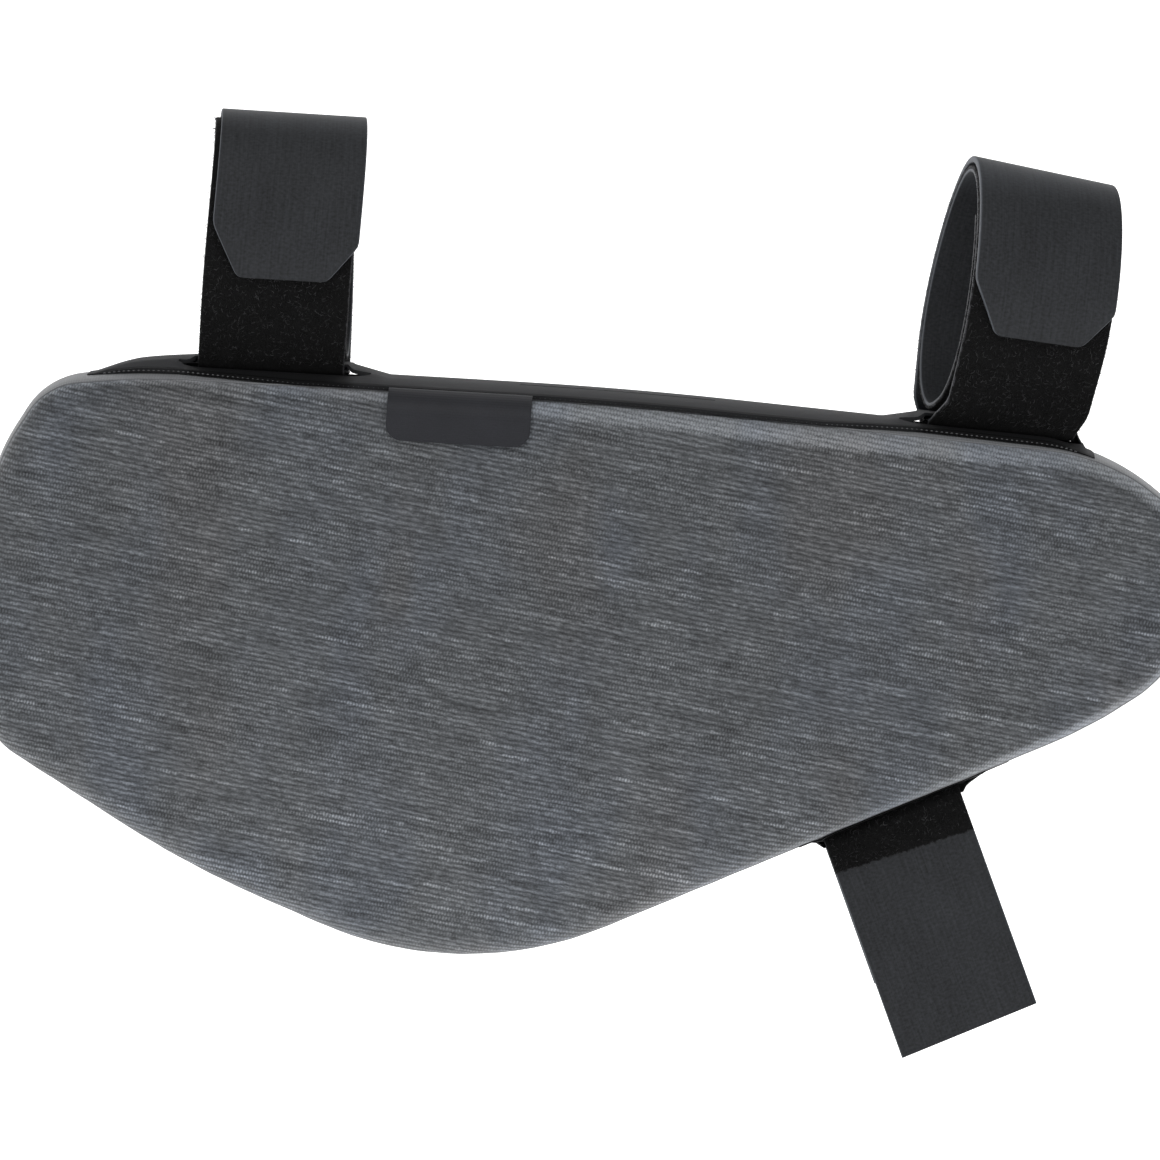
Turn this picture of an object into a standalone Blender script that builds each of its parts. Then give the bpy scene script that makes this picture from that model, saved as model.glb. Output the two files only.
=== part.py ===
"""Bicycle frame bag that hangs under a top tube on two strap loops.

A hollow fabric body with a crowned gusset carries a coated strip along its top edge and a
shorter one on its lower edge. Straps are threaded through slits in the strips: two are wound
round the top tube's place, and one hangs open. A zip closes the far face.

Metres, Z up. X runs along the top tube, the labelled face looks towards -Y, and the origin
is on the axis of the top tube, between the two top straps.
"""

from collections import namedtuple
from math import acos, atan2, ceil, hypot, pi, radians, sin, tan

import bmesh
import bpy
import numpy as np

# Bag body
BAG_LENGTH = 0.2673
BAG_HEIGHT = 0.1266
BAG_DEPTH = 0.0500
FACE_BULGE = 0.0030
SHOULDER = 0.0080
WALL = 0.0018
TUBE_TO_BAG = 0.0278
TUBE_SHARE = 0.5256

# Strips sewn on the gusset
TOP_PANEL_WIDTH = 0.0400
LOWER_PANEL_WIDTH = 0.0340
PANEL_THICK = 0.0010
PANEL_GAP = 0.0003
TOP_PANEL_SHARES = (0.074, 0.9135)
SLIT_LENGTH = 0.0430
IDLE_SLIT_WIDTH = 0.0009
BRIDGE_WIDTH = 0.0218
LOWER_PANEL_LENGTH = 0.0520

# Straps
STRAP_WIDTH = 0.0320
STRAP_THICK = 0.0015
STRAP_GAP = 0.0005
STRAP_BEND = 0.0012
SLIT_PLAY = 0.0006
LOOP_DEPTH = 0.0440
LOOP_HEIGHT = 0.0570
LOOP_START = radians(50)
LAYER_TURN = radians(55)
CHAMFER_WIDTH = 0.0065
CHAMFER_LENGTH = 0.0100
FLAP_END_SHARE = 0.36
TWIST_EASE_SHARE = 0.25
HANG_FRONT = 0.0510
HANG_BACK = 0.0380
HANG_SPREAD = 0.0030
HANG_LEAN = radians(2.6)

# Label tab
LABEL_WIDTH = 0.0313
LABEL_DROP = 0.0122
LABEL_THICK = 0.0009
LABEL_ROUND = 0.0035
LABEL_SHARE = 0.3745
LABEL_BEND_SHARE = 0.25
LABEL_GAP = 0.0004

# Zip on the far face
ZIP_LENGTH = 0.1900
ZIP_HEIGHT = 0.0110
ZIP_ALONG_SHARE = 0.4700
ZIP_DOWN_SHARE = 0.1960
ZIP_GAP = 0.0004
ZIP_SKIN = 0.0003
SLIDER_LENGTH = 0.0110
SLIDER_WIDTH = 0.0070
SLIDER_THICK = 0.0028
SLIDER_INSET = 0.0220
PULL_LENGTH = 0.0220
PULL_WIDTH = 0.0050
PULL_THICK = 0.0012

# How finely round stretches are divided
ARC_STEP = radians(11)
RUN_STEP = 0.0240
LEAST_STEP = 0.0015
OVAL_STEP = radians(12)
LAST_STEP_SHARE = 0.3
CORNER_SHARE = 0.98
SHARP_ANGLE = radians(40)
LABEL_COLUMNS = 7
LABEL_CORNER_ROWS = (0.15, 0.5, 1.0)

# Corners of the outline: share of the length from the left end, share of the height below
# the top edge's crown, and the corner's radius as a share of the height.
Corner = namedtuple("Corner", "along down round")
OUTLINE = (
    Corner(0.0392, 0.0553, 0.127),
    Corner(0.1235, 0.0236, 1.020),
    Corner(0.5153, -0.0020, 8.054),
    Corner(0.9161, 0.0123, 0.385),
    Corner(0.9959, 0.1375, 0.148),
    Corner(1.0039, 0.3697, 0.238),
    Corner(0.9215, 0.5067, 0.860),
    Corner(0.4252, 1.0533, 0.635),
    Corner(0.1894, 0.8859, 1.722),
    Corner(0.0050, 0.6794, 0.145),
    Corner(-0.0011, 0.2157, 0.302),
)
CHIN, KEEL = 6, 7

# Half of the gusset's section: share of the half depth from the middle, and how far in from
# the outline it lies there, as a share of the shoulder.
Section = namedtuple("Section", "depth inset")
GUSSET = (
    Section(0.00, 0.000),
    Section(0.40, 0.045),
    Section(0.68, 0.170),
    Section(0.84, 0.340),
    Section(0.95, 0.600),
    Section(1.00, 1.000),
)
FACE_RINGS = (0.85, 0.60, 0.30)
FACE_CENTRE = Corner(0.4600, 0.4275, 0.0)

# Pairs of slits in the top strip, by their place along the bag. A strapped pair has its bridge
# lifted over the strap. The strap's place in its slits is a share of the play it has there.
Slits = namedtuple("Slits", "along strapped shift")
TOP_SLITS = (
    Slits(0.2227, True, 0.06),
    Slits(0.5087, False, 0.0),
    Slits(0.8177, True, 0.32),
)
LOWER_SLITS = Slits(0.301, True, 0.43)

# The closed loops: height above the bag's crown as a share of the usual one, twist about the
# upright just above the slits and at the top, lean along the tube, tilt of the strap's width
# at the top, and how far the flap has slid sideways, as a share of the strap's width.
Loop = namedtuple("Loop", "name slits height low_twist top_twist lean tilt slide")
LOOPS = (
    Loop("top_strap_left", TOP_SLITS[0], 1.012, 0.0, radians(5.8), 0.0, 0.0, 0.037),
    Loop("top_strap_right", TOP_SLITS[2], 1.032, radians(12.5), radians(7.0), radians(3.7),
         radians(5.5), 0.0),
)

# Worked-out heights above the gusset, from the bag outwards
BRIDGE_LIFT = STRAP_THICK + 2 * PANEL_GAP
UNDER_LEVEL = PANEL_GAP + STRAP_THICK / 2
OVER_LEVEL = BRIDGE_LIFT + PANEL_THICK + STRAP_GAP + STRAP_THICK / 2
LAYER_PITCH = STRAP_THICK + STRAP_GAP
STRAP_TURN = BRIDGE_WIDTH / 2 + STRAP_BEND
SLIT_LIP = STRAP_TURN + STRAP_THICK / 2 + SLIT_PLAY


def clear_scene():
    for thing in list(bpy.data.objects):
        bpy.data.objects.remove(thing)


def material(name, colour, roughness, metallic=0.0):
    """A plain Principled finish."""
    finish = bpy.data.materials.new(name)
    finish.use_nodes = True
    shader = finish.node_tree.nodes["Principled BSDF"]
    shader.inputs["Base Color"].default_value = (*colour, 1.0)
    shader.inputs["Roughness"].default_value = roughness
    shader.inputs["Metallic"].default_value = metallic
    return finish


def mesh_object(name, points, faces, finish=None):
    """A mesh object whose faces look outwards."""
    mesh = bpy.data.meshes.new(name)
    mesh.from_pydata(np.asarray(points).tolist(), [], faces)
    work = bmesh.new()
    work.from_mesh(mesh)
    bmesh.ops.recalc_face_normals(work, faces=work.faces)
    work.to_mesh(mesh)
    work.free()
    piece = bpy.data.objects.new(name, mesh)
    bpy.context.collection.objects.link(piece)
    if finish:
        mesh.materials.append(finish)
        mesh.shade_smooth()
        mesh.set_sharp_from_angle(angle=SHARP_ANGLE)
    return piece


def helper(piece):
    """Marks a cutter, which is no part of the bag."""
    piece.hide_render = True
    piece.display_type = "WIRE"
    return piece


def boolean(piece, other, operation):
    cut = piece.modifiers.new(operation.lower() + "_" + other.name, "BOOLEAN")
    cut.operation = operation
    cut.solver = "EXACT"
    cut.object = other


def cells(rows, columns):
    """Corner numbers of the faces of a grid of points."""
    return [
        (r * columns + c, r * columns + c + 1, (r + 1) * columns + c + 1, (r + 1) * columns + c)
        for r in range(rows - 1)
        for c in range(columns - 1)
    ]


def ring_faces(rings, around):
    """Faces of a tube of rings, each with the same number of points around."""
    return [
        (r * around + c, r * around + (c + 1) % around,
         (r + 1) * around + (c + 1) % around, (r + 1) * around + c)
        for r in range(rings - 1)
        for c in range(around)
    ]


def rounded(corners, radii):
    """The line through corners, with each one turned into an arc of its radius, if it has one."""
    corners = np.asarray(corners, float)
    side = np.roll(corners, -1, axis=0) - corners
    length = np.linalg.norm(side, axis=1)
    on = side / length[:, None]
    back = -np.roll(on, 1, axis=0)
    half = np.arccos(np.clip((back * on).sum(axis=1), -1, 1)) / 2
    tangent = fitted_tangents(np.asarray(radii) / np.tan(half), length)
    pieces = []
    for here, ahead, behind, opening, reach in zip(corners, on, back, half, tangent):
        if reach == 0:
            pieces.append(here[None])
            continue
        radius = reach * tan(opening)
        middle = (behind + ahead) / hypot(*(behind + ahead))
        centre = here + middle * radius / sin(opening)
        first, last = here + behind * reach - centre, here + ahead * reach - centre
        turn = pi - 2 * opening
        steps = max(ceil(turn / ARC_STEP), ceil(turn * radius / RUN_STEP))
        share = np.linspace(0, 1, steps + 1)[:, None]
        arc = (np.sin((1 - share) * turn) * first + np.sin(share * turn) * last) / sin(turn)
        pieces.append(centre + arc)
    return np.concatenate(pieces)


def fitted_tangents(tangent, length):
    """How far each arc reaches along its sides, the longer of two shortened where both don't fit."""
    for i, room in enumerate(length * CORNER_SHARE):
        on = (i + 1) % len(length)
        longer = i if tangent[i] > tangent[on] else on
        tangent[longer] -= max(0.0, tangent[i] + tangent[on] - room)
    return tangent


def divided(points):
    """A closed line with no step longer than RUN_STEP."""
    pieces = []
    for here, on in zip(points, np.roll(points, -1, axis=0)):
        steps = max(1, ceil(hypot(*(on - here)) / RUN_STEP))
        share = np.arange(steps)[:, None] / steps
        pieces.append(here + (on - here) * share)
    return np.concatenate(pieces)


def place(along, down):
    """X and Z of a place given by shares of the bag's length and height."""
    return np.array([(along - TUBE_SHARE) * BAG_LENGTH, -TUBE_TO_BAG - down * BAG_HEIGHT])


def without_short_steps(points):
    """A closed line without the points that have their follower too near."""
    step = np.linalg.norm(np.roll(points, -1, axis=0) - points, axis=1)
    return points[step > LEAST_STEP]


def line_normals(line):
    """Outward unit normals of the clockwise outline, which halve the turn at each point."""
    on = np.roll(line, -1, axis=0) - line
    on /= np.linalg.norm(on, axis=1)[:, None]
    run = on + np.roll(on, 1, axis=0)
    run /= np.linalg.norm(run, axis=1)[:, None]
    return np.stack([-run[:, 1], run[:, 0]], axis=1)


RIM = divided(without_short_steps(rounded(
    [place(corner.along, corner.down) for corner in OUTLINE],
    [corner.round * BAG_HEIGHT for corner in OUTLINE],
)))
RIM_NORMAL = line_normals(RIM)
RIM_STEPS = np.linalg.norm(np.roll(RIM, -1, axis=0) - RIM, axis=1)
RIM_AT = np.concatenate([[0.0], np.cumsum(RIM_STEPS)])
CENTRE = place(FACE_CENTRE.along, FACE_CENTRE.down)
HALF_DEPTH = BAG_DEPTH / 2


def rim_point(travel):
    """Points and outward normals of the outline, at distances along it from its start."""
    looped = np.concatenate([RIM, RIM[:1]])
    normals = np.concatenate([RIM_NORMAL, RIM_NORMAL[:1]])
    point = np.stack([np.interp(travel, RIM_AT, looped[:, k]) for k in (0, 1)], axis=-1)
    normal = np.stack([np.interp(travel, RIM_AT, normals[:, k]) for k in (0, 1)], axis=-1)
    return point, normal / np.linalg.norm(normal, axis=-1, keepdims=True)


def travel_on_top(along):
    """Distance along the outline of a place on the top edge."""
    top = int(RIM[:, 0].argmax())
    return float(np.interp(place(along, 0.0)[0], RIM[:top, 0], RIM_AT[:top]))


def travel_on_keel(share):
    """Distance along the outline of a place on the lower edge, by its share from the chin."""
    chin = place(OUTLINE[CHIN].along, OUTLINE[CHIN].down)
    keel = place(OUTLINE[KEEL].along, OUTLINE[KEEL].down)
    wanted = chin + (keel - chin) * share
    step = np.roll(RIM, -1, axis=0) - RIM
    reach = np.clip(((wanted - RIM) * step).sum(axis=1) / RIM_STEPS**2, 0, 1)
    miss = np.linalg.norm(RIM + step * reach[:, None] - wanted, axis=1)
    nearest = int(miss.argmin())
    return float(RIM_AT[nearest] + reach[nearest] * RIM_STEPS[nearest])


def gusset_section(inset=0.0):
    """Depth and inset of the gusset's half section, drawn in by a distance all along."""
    line = np.array([(row.depth * HALF_DEPTH, row.inset * SHOULDER) for row in GUSSET])
    run = np.gradient(line, axis=0)
    run[0] = (1.0, 0.0)
    run[-1] = (0.0, 1.0)
    run /= np.linalg.norm(run, axis=1)[:, None]
    return line + inset * np.stack([-run[:, 1], run[:, 0]], axis=1)


def gusset_inset(depth):
    """How far the gusset lies in from the outline, at a depth from the middle."""
    line = gusset_section()
    return np.interp(np.abs(depth), line[:, 0], line[:, 1])


def face_swell(share):
    """How far a face stands out at a share of the way from its centre to its edge."""
    return FACE_BULGE * (1 - np.square(share))


def with_depth(flat, depth):
    """X, Y, Z of points in the bag's plane at a depth along Y."""
    return np.stack([flat[..., 0], np.broadcast_to(depth, flat.shape[:-1]), flat[..., 1]], axis=-1)


def bag_form(name, inset, finish=None):
    """The closed outer form of the bag, drawn in by a distance on every side."""
    section = gusset_section(inset)
    edge = RIM - RIM_NORMAL * section[-1, 1]
    half = section[-1, 0]
    face = [
        with_depth(CENTRE + (edge - CENTRE) * share, -half - face_swell(share))
        for share in reversed(FACE_RINGS)
    ]
    gusset = [with_depth(RIM - RIM_NORMAL * row[1], -row[0]) for row in section[::-1]]
    near = np.array(face + gusset)
    far = near[-2::-1] * (1, -1, 1)
    rings = np.concatenate([near, far])
    rings_count, around = rings.shape[:2]
    poles = [with_depth(CENTRE, side * (half + FACE_BULGE)) for side in (-1, 1)]
    points = np.concatenate([rings.reshape(-1, 3), poles])
    first_pole, last_pole = rings_count * around, rings_count * around + 1
    last_ring = (rings_count - 1) * around
    faces = ring_faces(rings_count, around)
    faces += [(first_pole, (c + 1) % around, c) for c in range(around)]
    faces += [(last_pole, last_ring + c, last_ring + (c + 1) % around) for c in range(around)]
    return mesh_object(name, points, faces, finish)


def block(name, middle, size, finish=None):
    """A box by its middle and its three sizes."""
    corners = np.array([(x, y, z) for x in (-1, 1) for y in (-1, 1) for z in (-1, 1)])
    faces = [(0, 1, 3, 2), (4, 6, 7, 5), (0, 4, 5, 1), (2, 3, 7, 6), (0, 2, 6, 4), (1, 5, 7, 3)]
    return mesh_object(name, np.asarray(middle) + corners * np.asarray(size) / 2, faces, finish)


def zip_window(name, margin):
    """A box through the far wall at the zip, smaller than the slot by a margin."""
    middle = with_depth(place(ZIP_ALONG_SHARE, ZIP_DOWN_SHARE), HALF_DEPTH)
    size = (ZIP_LENGTH - 2 * margin, BAG_DEPTH / 2, ZIP_HEIGHT - 2 * margin)
    return helper(block(name, middle, size))


def make_bag_shell(finish):
    shell = bag_form("bag_shell", 0.0, finish)
    boolean(shell, helper(bag_form("bag_hollow", WALL)), "DIFFERENCE")
    boolean(shell, zip_window("zip_slot", 0.0), "DIFFERENCE")
    return shell


def make_zip(tape_finish, slider_finish):
    """The closed zip in its slot, and its slider standing on it near one end."""
    tape = bag_form("zip_tape", ZIP_SKIN, tape_finish)
    boolean(tape, zip_window("zip_trim", ZIP_GAP), "INTERSECT")
    boolean(tape, helper(bag_form("zip_back", WALL - ZIP_SKIN)), "DIFFERENCE")

    at = place(ZIP_ALONG_SHARE, ZIP_DOWN_SHARE) - (ZIP_LENGTH / 2 - SLIDER_INSET, 0)
    ground = far_face_depth(at + (PULL_LENGTH, 0)) - ZIP_SKIN + ZIP_GAP
    body = block(
        "zip_slider",
        with_depth(at, ground + SLIDER_THICK / 2),
        (SLIDER_LENGTH, SLIDER_THICK, SLIDER_WIDTH),
        slider_finish,
    )
    pull = helper(block(
        "zip_pull",
        with_depth(at + (PULL_LENGTH / 2, 0), ground + SLIDER_THICK - PULL_THICK / 2),
        (PULL_LENGTH, PULL_THICK, PULL_WIDTH),
    ))
    boolean(body, pull, "UNION")
    return tape, body


def far_face_depth(flat):
    """How far out the far face lies at a place in the bag's plane."""
    edge = RIM - RIM_NORMAL * SHOULDER
    out = edge - CENTRE
    bearing = np.arctan2(out[:, 1], out[:, 0])
    order = bearing.argsort()
    arm = flat - CENTRE
    reach = np.interp(
        np.arctan2(arm[..., 1], arm[..., 0]),
        bearing[order],
        np.linalg.norm(out, axis=1)[order],
        period=2 * pi,
    )
    return HALF_DEPTH + face_swell(np.linalg.norm(arm, axis=-1) / reach)


def stops(fixed, step):
    """Sorted stations through fixed values, with none further apart than a step."""
    fixed = sorted(set(fixed))
    pieces = [
        np.linspace(low, high, ceil((high - low) / step) + 1)[:-1]
        for low, high in zip(fixed, fixed[1:])
    ]
    return np.concatenate([*pieces, fixed[-1:]])


def edge_frame(travel):
    """Origin on the outline, direction along it and outward normal, all in the bag's plane."""
    origin, normal = rim_point(travel)
    return origin, np.array([normal[1], -normal[0]]), normal


def strap_shift(slits):
    """How far a strap lies from the middle of its slits, along the edge."""
    return slits.shift * (SLIT_LENGTH - STRAP_WIDTH) / 2


def make_panel(name, start, end, width, slit_places, finish):
    """A strip on the gusset. Over a strap, its bridge stands straight off the strap's frame."""
    half_slit, half_strap = SLIT_LENGTH / 2, STRAP_WIDTH / 2 + STRAP_GAP
    marks = [start, end]
    for middle, slits in slit_places:
        marks += [middle - half_slit, middle + half_slit]
        if slits.strapped:
            strap = middle + strap_shift(slits)
            marks += [strap - half_strap, strap + half_strap]
    bends = RIM_AT[(RIM_AT > start) & (RIM_AT < end)]
    clear = np.abs(bends[:, None] - np.array(marks)).min(axis=1) > LEAST_STEP
    travel = stops([*marks, *bends[clear]], RUN_STEP)
    half_bridge = BRIDGE_WIDTH / 2
    sides = [half_bridge, half_bridge + IDLE_SLIT_WIDTH, SLIT_LIP, width / 2]
    sides += [row.depth * HALF_DEPTH for row in GUSSET if row.depth * HALF_DEPTH < width / 2]
    sides = np.array(sorted(set(sides)))
    depth = np.concatenate([-sides[:0:-1], sides])

    point, normal = rim_point(travel)
    height = PANEL_GAP - gusset_inset(depth)
    flat = point[:, None] + normal[:, None] * height[None, :, None]
    open_cells = np.zeros((len(travel) - 1, len(depth) - 1), bool)
    along_mid = (travel[1:] + travel[:-1]) / 2
    depth_mid = np.abs(depth[1:] + depth[:-1]) / 2
    for middle, slits in slit_places:
        wide = SLIT_LIP if slits.strapped else half_bridge + IDLE_SLIT_WIDTH
        in_slit = (depth_mid > half_bridge) & (depth_mid < wide)
        open_cells |= (np.abs(along_mid - middle) < half_slit)[:, None] & in_slit[None]
        if not slits.strapped:
            continue
        strap = middle + strap_shift(slits)
        origin, along, out = edge_frame(strap)
        raised = origin + (travel - strap)[:, None] * along + out * (PANEL_GAP + BRIDGE_LIFT)
        past = np.interp(
            travel,
            [middle - half_slit, strap - half_strap, strap + half_strap, middle + half_slit],
            [0, 1, 1, 0],
        )
        weight = past[:, None] * (np.abs(depth) <= half_bridge)[None]
        flat += (raised[:, None] - flat) * weight[..., None]

    grid = with_depth(flat, depth[None])
    faces = [
        face for face, hole in zip(cells(*grid.shape[:2]), open_cells.reshape(-1)) if not hole
    ]
    strip = mesh_object(name, grid.reshape(-1, 3), faces, finish)
    thicken(strip, PANEL_THICK)
    return strip


def thicken(piece, thick):
    """Gives an open sheet its thickness on the side that looks away from the bag."""
    first = piece.data.polygons[0]
    away = np.array(first.center) - (CENTRE[0], 0, CENTRE[1])
    outward = 1.0 if np.dot(np.array(first.normal), away) > 0 else -1.0
    wall = piece.modifiers.new("thickness", "SOLIDIFY")
    wall.thickness = thick
    wall.offset = outward
    wall.use_even_offset = True


def strap_solid(name, origin_travel, route, half_width, slide, twists, lean, tilt, height, finish):
    """A strap of constant thickness along a route of depths and heights over the edge.

    It leaves the slits straight, eases into its low twist about the upright and goes evenly
    over to its top twist. It leans along the tube, and its width tilts out of level.
    """
    origin, along, out = edge_frame(origin_travel)
    run = np.gradient(route, axis=0)
    run /= np.linalg.norm(run, axis=1)[:, None]
    side = np.stack([-run[:, 1], run[:, 0]], axis=1) * STRAP_THICK / 2
    rings = []
    for across, face in ((-1, -1), (1, -1), (1, 1), (-1, 1)):
        depth, up = (route + side * face).T
        share = np.clip(route[:, 1] / height, 0, 1)
        turn = (twists[0] + (twists[1] - twists[0]) * share) * smooth(share / TWIST_EASE_SHARE)
        sideways = half_width * across + slide
        travel = sideways * np.cos(turn) - depth * np.sin(turn) + np.tan(lean) * up
        depth = sideways * np.sin(turn) + depth * np.cos(turn)
        up = up - np.tan(tilt) * sideways * share
        flat = origin + travel[:, None] * along + up[:, None] * out
        rings.append(with_depth(flat, depth))
    rings = np.stack(rings, axis=1)
    faces = ring_faces(len(rings), 4)
    last = 4 * (len(rings) - 1)
    faces += [(0, 1, 2, 3), (last + 3, last + 2, last + 1, last)]
    return mesh_object(name, rings.reshape(-1, 3), faces, finish)


def smooth(share):
    """Eases from 0 to 1 with no kink at either end."""
    share = np.clip(share, 0, 1)
    return share * share * (3 - 2 * share)


def oval_angles(start, end):
    """The start, the end and the whole steps between them, none much too short."""
    first = ceil(start / OVAL_STEP + LAST_STEP_SHARE)
    last = int(end / OVAL_STEP - LAST_STEP_SHARE)
    return np.concatenate([[start], np.arange(first, last + 1) * OVAL_STEP, [end]])


def loop_route(height):
    """Depths and heights along a wound strap, from its inner end to the tip of its flap.

    It goes down the front, over the bridge and up the back, round the top and down the front
    again through the slits and under the bridge, and up the back to the flap. Each time it
    passes the top, it is half way from one layer to the next.
    """
    top = height - STRAP_THICK / 2 - 3 * LAYER_PITCH / 2
    middle, rise = (top + OVER_LEVEL) / 2, (top - OVER_LEVEL) / 2
    reach = (LOOP_DEPTH - STRAP_THICK + LAYER_PITCH) / 2 - 2 * LAYER_PITCH

    def oval(angle):
        turns = (angle[:, None] - 2 * pi * np.array([1, 2])) / (2 * LAYER_TURN) + 1 / 2
        layer = smooth(turns).sum(axis=1)
        depth = -(reach + layer * LAYER_PITCH) * np.sin(angle)
        return np.stack([depth, middle + (rise + layer * LAYER_PITCH) * np.cos(angle)], axis=1)

    outer_reach, outer_rise = reach + LAYER_PITCH, rise + LAYER_PITCH
    across = STRAP_TURN * outer_rise
    upright = outer_reach * (UNDER_LEVEL - middle)
    touch = atan2(across, upright) - acos(outer_reach * outer_rise / hypot(across, upright))
    flap_rise = rise + 2 * LAYER_PITCH
    flap_angle = acos((FLAP_END_SHARE * height - middle) / flap_rise)
    inner = oval(oval_angles(LOOP_START, 2 * pi + touch))
    outer = oval(oval_angles(4 * pi - touch, 4 * pi + flap_angle))
    turns = np.array([[-STRAP_TURN, UNDER_LEVEL], [STRAP_TURN, UNDER_LEVEL]])
    corners = np.concatenate([inner, turns, outer])
    radii = [0] * len(inner) + [STRAP_BEND] * 2 + [0] * len(outer)
    return rounded(corners, radii)


def travelled(route):
    """Distance along a route at each of its points."""
    return np.concatenate([[0.0], np.cumsum(np.linalg.norm(np.diff(route, axis=0), axis=1))])


def with_point_before_end(route, distance):
    """The route with a point put in at a distance from its end."""
    gone = travelled(route)
    wanted = gone[-1] - distance
    after = int(np.searchsorted(gone, wanted))
    point = [np.interp(wanted, gone, route[:, k]) for k in (0, 1)]
    return np.concatenate([route[:after], [point], route[after + 1:-1], route[-1:]])


def make_loop(loop, finish):
    """A top strap, wound one and a half times and closed on itself by its flap."""
    height = loop.height * LOOP_HEIGHT
    route = with_point_before_end(loop_route(height), CHAMFER_LENGTH)
    left = travelled(route)[-1] - travelled(route)
    half_width = STRAP_WIDTH / 2 - CHAMFER_WIDTH * np.clip(1 - left / CHAMFER_LENGTH, 0, 1)
    slide = loop.slide * STRAP_WIDTH * smooth(1 - (left - LOOP_DEPTH) / LOOP_DEPTH)
    travel = travel_on_top(loop.slits.along) + strap_shift(loop.slits)
    return strap_solid(
        loop.name, travel, route, half_width, slide,
        (loop.low_twist, loop.top_twist), loop.lean, loop.tilt, height, finish,
    )


def make_down_tube_strap(finish):
    """The open strap: out of the front slit, and a shorter end behind it."""
    corners = [
        (STRAP_TURN + HANG_SPREAD, HANG_BACK),
        (STRAP_TURN, UNDER_LEVEL),
        (-STRAP_TURN, UNDER_LEVEL),
        (-STRAP_TURN - HANG_SPREAD, HANG_FRONT),
    ]
    route = rounded(corners, [0, STRAP_BEND, STRAP_BEND, 0])
    half_width = np.full(len(route), STRAP_WIDTH / 2)
    travel = travel_on_keel(LOWER_SLITS.along) + strap_shift(LOWER_SLITS)
    return strap_solid(
        "down_tube_strap", travel, route, half_width, 0.0,
        (0.0, 0.0), HANG_LEAN, 0.0, HANG_FRONT, finish,
    )


def make_label_tab(finish):
    """The tab from the edge of the top strip over the shoulder, with round lower corners."""
    top = gusset_inset(TOP_PANEL_WIDTH / 2 + LABEL_GAP)
    bottom = top + LABEL_DROP - LABEL_BEND_SHARE * SHOULDER
    down = stops(
        [top, bottom]
        + [row.inset * SHOULDER for row in GUSSET if row.inset * SHOULDER > top]
        + [bottom - LABEL_ROUND * share for share in LABEL_CORNER_ROWS],
        SHOULDER / 2,
    )
    into_corner = np.clip(1 - (bottom - down) / LABEL_ROUND, 0, 1)
    half = LABEL_WIDTH / 2 - LABEL_ROUND * (1 - np.sqrt(1 - into_corner**2))
    across = np.linspace(-1, 1, LABEL_COLUMNS)
    travel = travel_on_top(LABEL_SHARE) + half[:, None] * across
    point, normal = rim_point(travel)
    flat = point - normal * down[:, None, None]
    section = gusset_section()
    shoulder_depth = np.interp(down, section[:, 1], section[:, 0])[:, None]
    depth = np.where(down[:, None] < SHOULDER, shoulder_depth, far_face_depth(flat))
    grid = with_depth(flat, -depth)
    grid = grid + grid_normals(grid) * LABEL_GAP
    tab = mesh_object("label_tab", grid.reshape(-1, 3), cells(*grid.shape[:2]), finish)
    thicken(tab, LABEL_THICK)
    return tab


def grid_normals(grid):
    """Unit normals of a grid of points, on the side towards -Y."""
    normal = np.cross(np.gradient(grid, axis=0), np.gradient(grid, axis=1))
    normal /= np.linalg.norm(normal, axis=-1, keepdims=True)
    return normal * -np.sign(normal[..., 1:2])


def main():
    clear_scene()
    fabric = material("ribbed_fabric", (0.095, 0.100, 0.108), 0.85)
    coated = material("coated_strip", (0.060, 0.062, 0.067), 0.50)
    webbing = material("hook_and_loop", (0.028, 0.028, 0.031), 0.75)
    tab_face = material("label_face", (0.040, 0.041, 0.045), 0.60)
    zip_cloth = material("zip_cloth", (0.020, 0.020, 0.022), 0.70)
    zip_metal = material("slider_metal", (0.080, 0.080, 0.085), 0.40, 0.9)

    make_bag_shell(fabric)
    make_zip(zip_cloth, zip_metal)
    top_places = [(travel_on_top(slits.along), slits) for slits in TOP_SLITS]
    start, end = (travel_on_top(share) for share in TOP_PANEL_SHARES)
    make_panel("top_panel", start, end, TOP_PANEL_WIDTH, top_places, coated)
    middle = travel_on_keel(LOWER_SLITS.along)
    half = LOWER_PANEL_LENGTH / 2
    lower_places = [(middle, LOWER_SLITS)]
    make_panel(
        "lower_panel", middle - half, middle + half, LOWER_PANEL_WIDTH, lower_places, coated
    )
    for loop in LOOPS:
        make_loop(loop, webbing)
    make_down_tube_strap(webbing)
    make_label_tab(tab_face)


main()
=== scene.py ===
# %% [markdown]
# # A bicycle frame bag, dressed for its photograph
#
# The bag is sewn from a ribbed, slubby fabric. Two hook-and-loop straps hang it under a top
# tube, and a third hangs open for the down tube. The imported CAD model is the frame: it says
# where every piece is, and nothing here moves it. Each soft piece is then built again as the
# cloth it really is. Everything is in metres, with X along the tube and Z up, and the
# labelled face looks towards -Y.

from collections import namedtuple
from math import acos, atan2, ceil, hypot, pi, radians, sin, tan

import bpy
import numpy as np
from mathutils import Matrix, Vector


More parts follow.
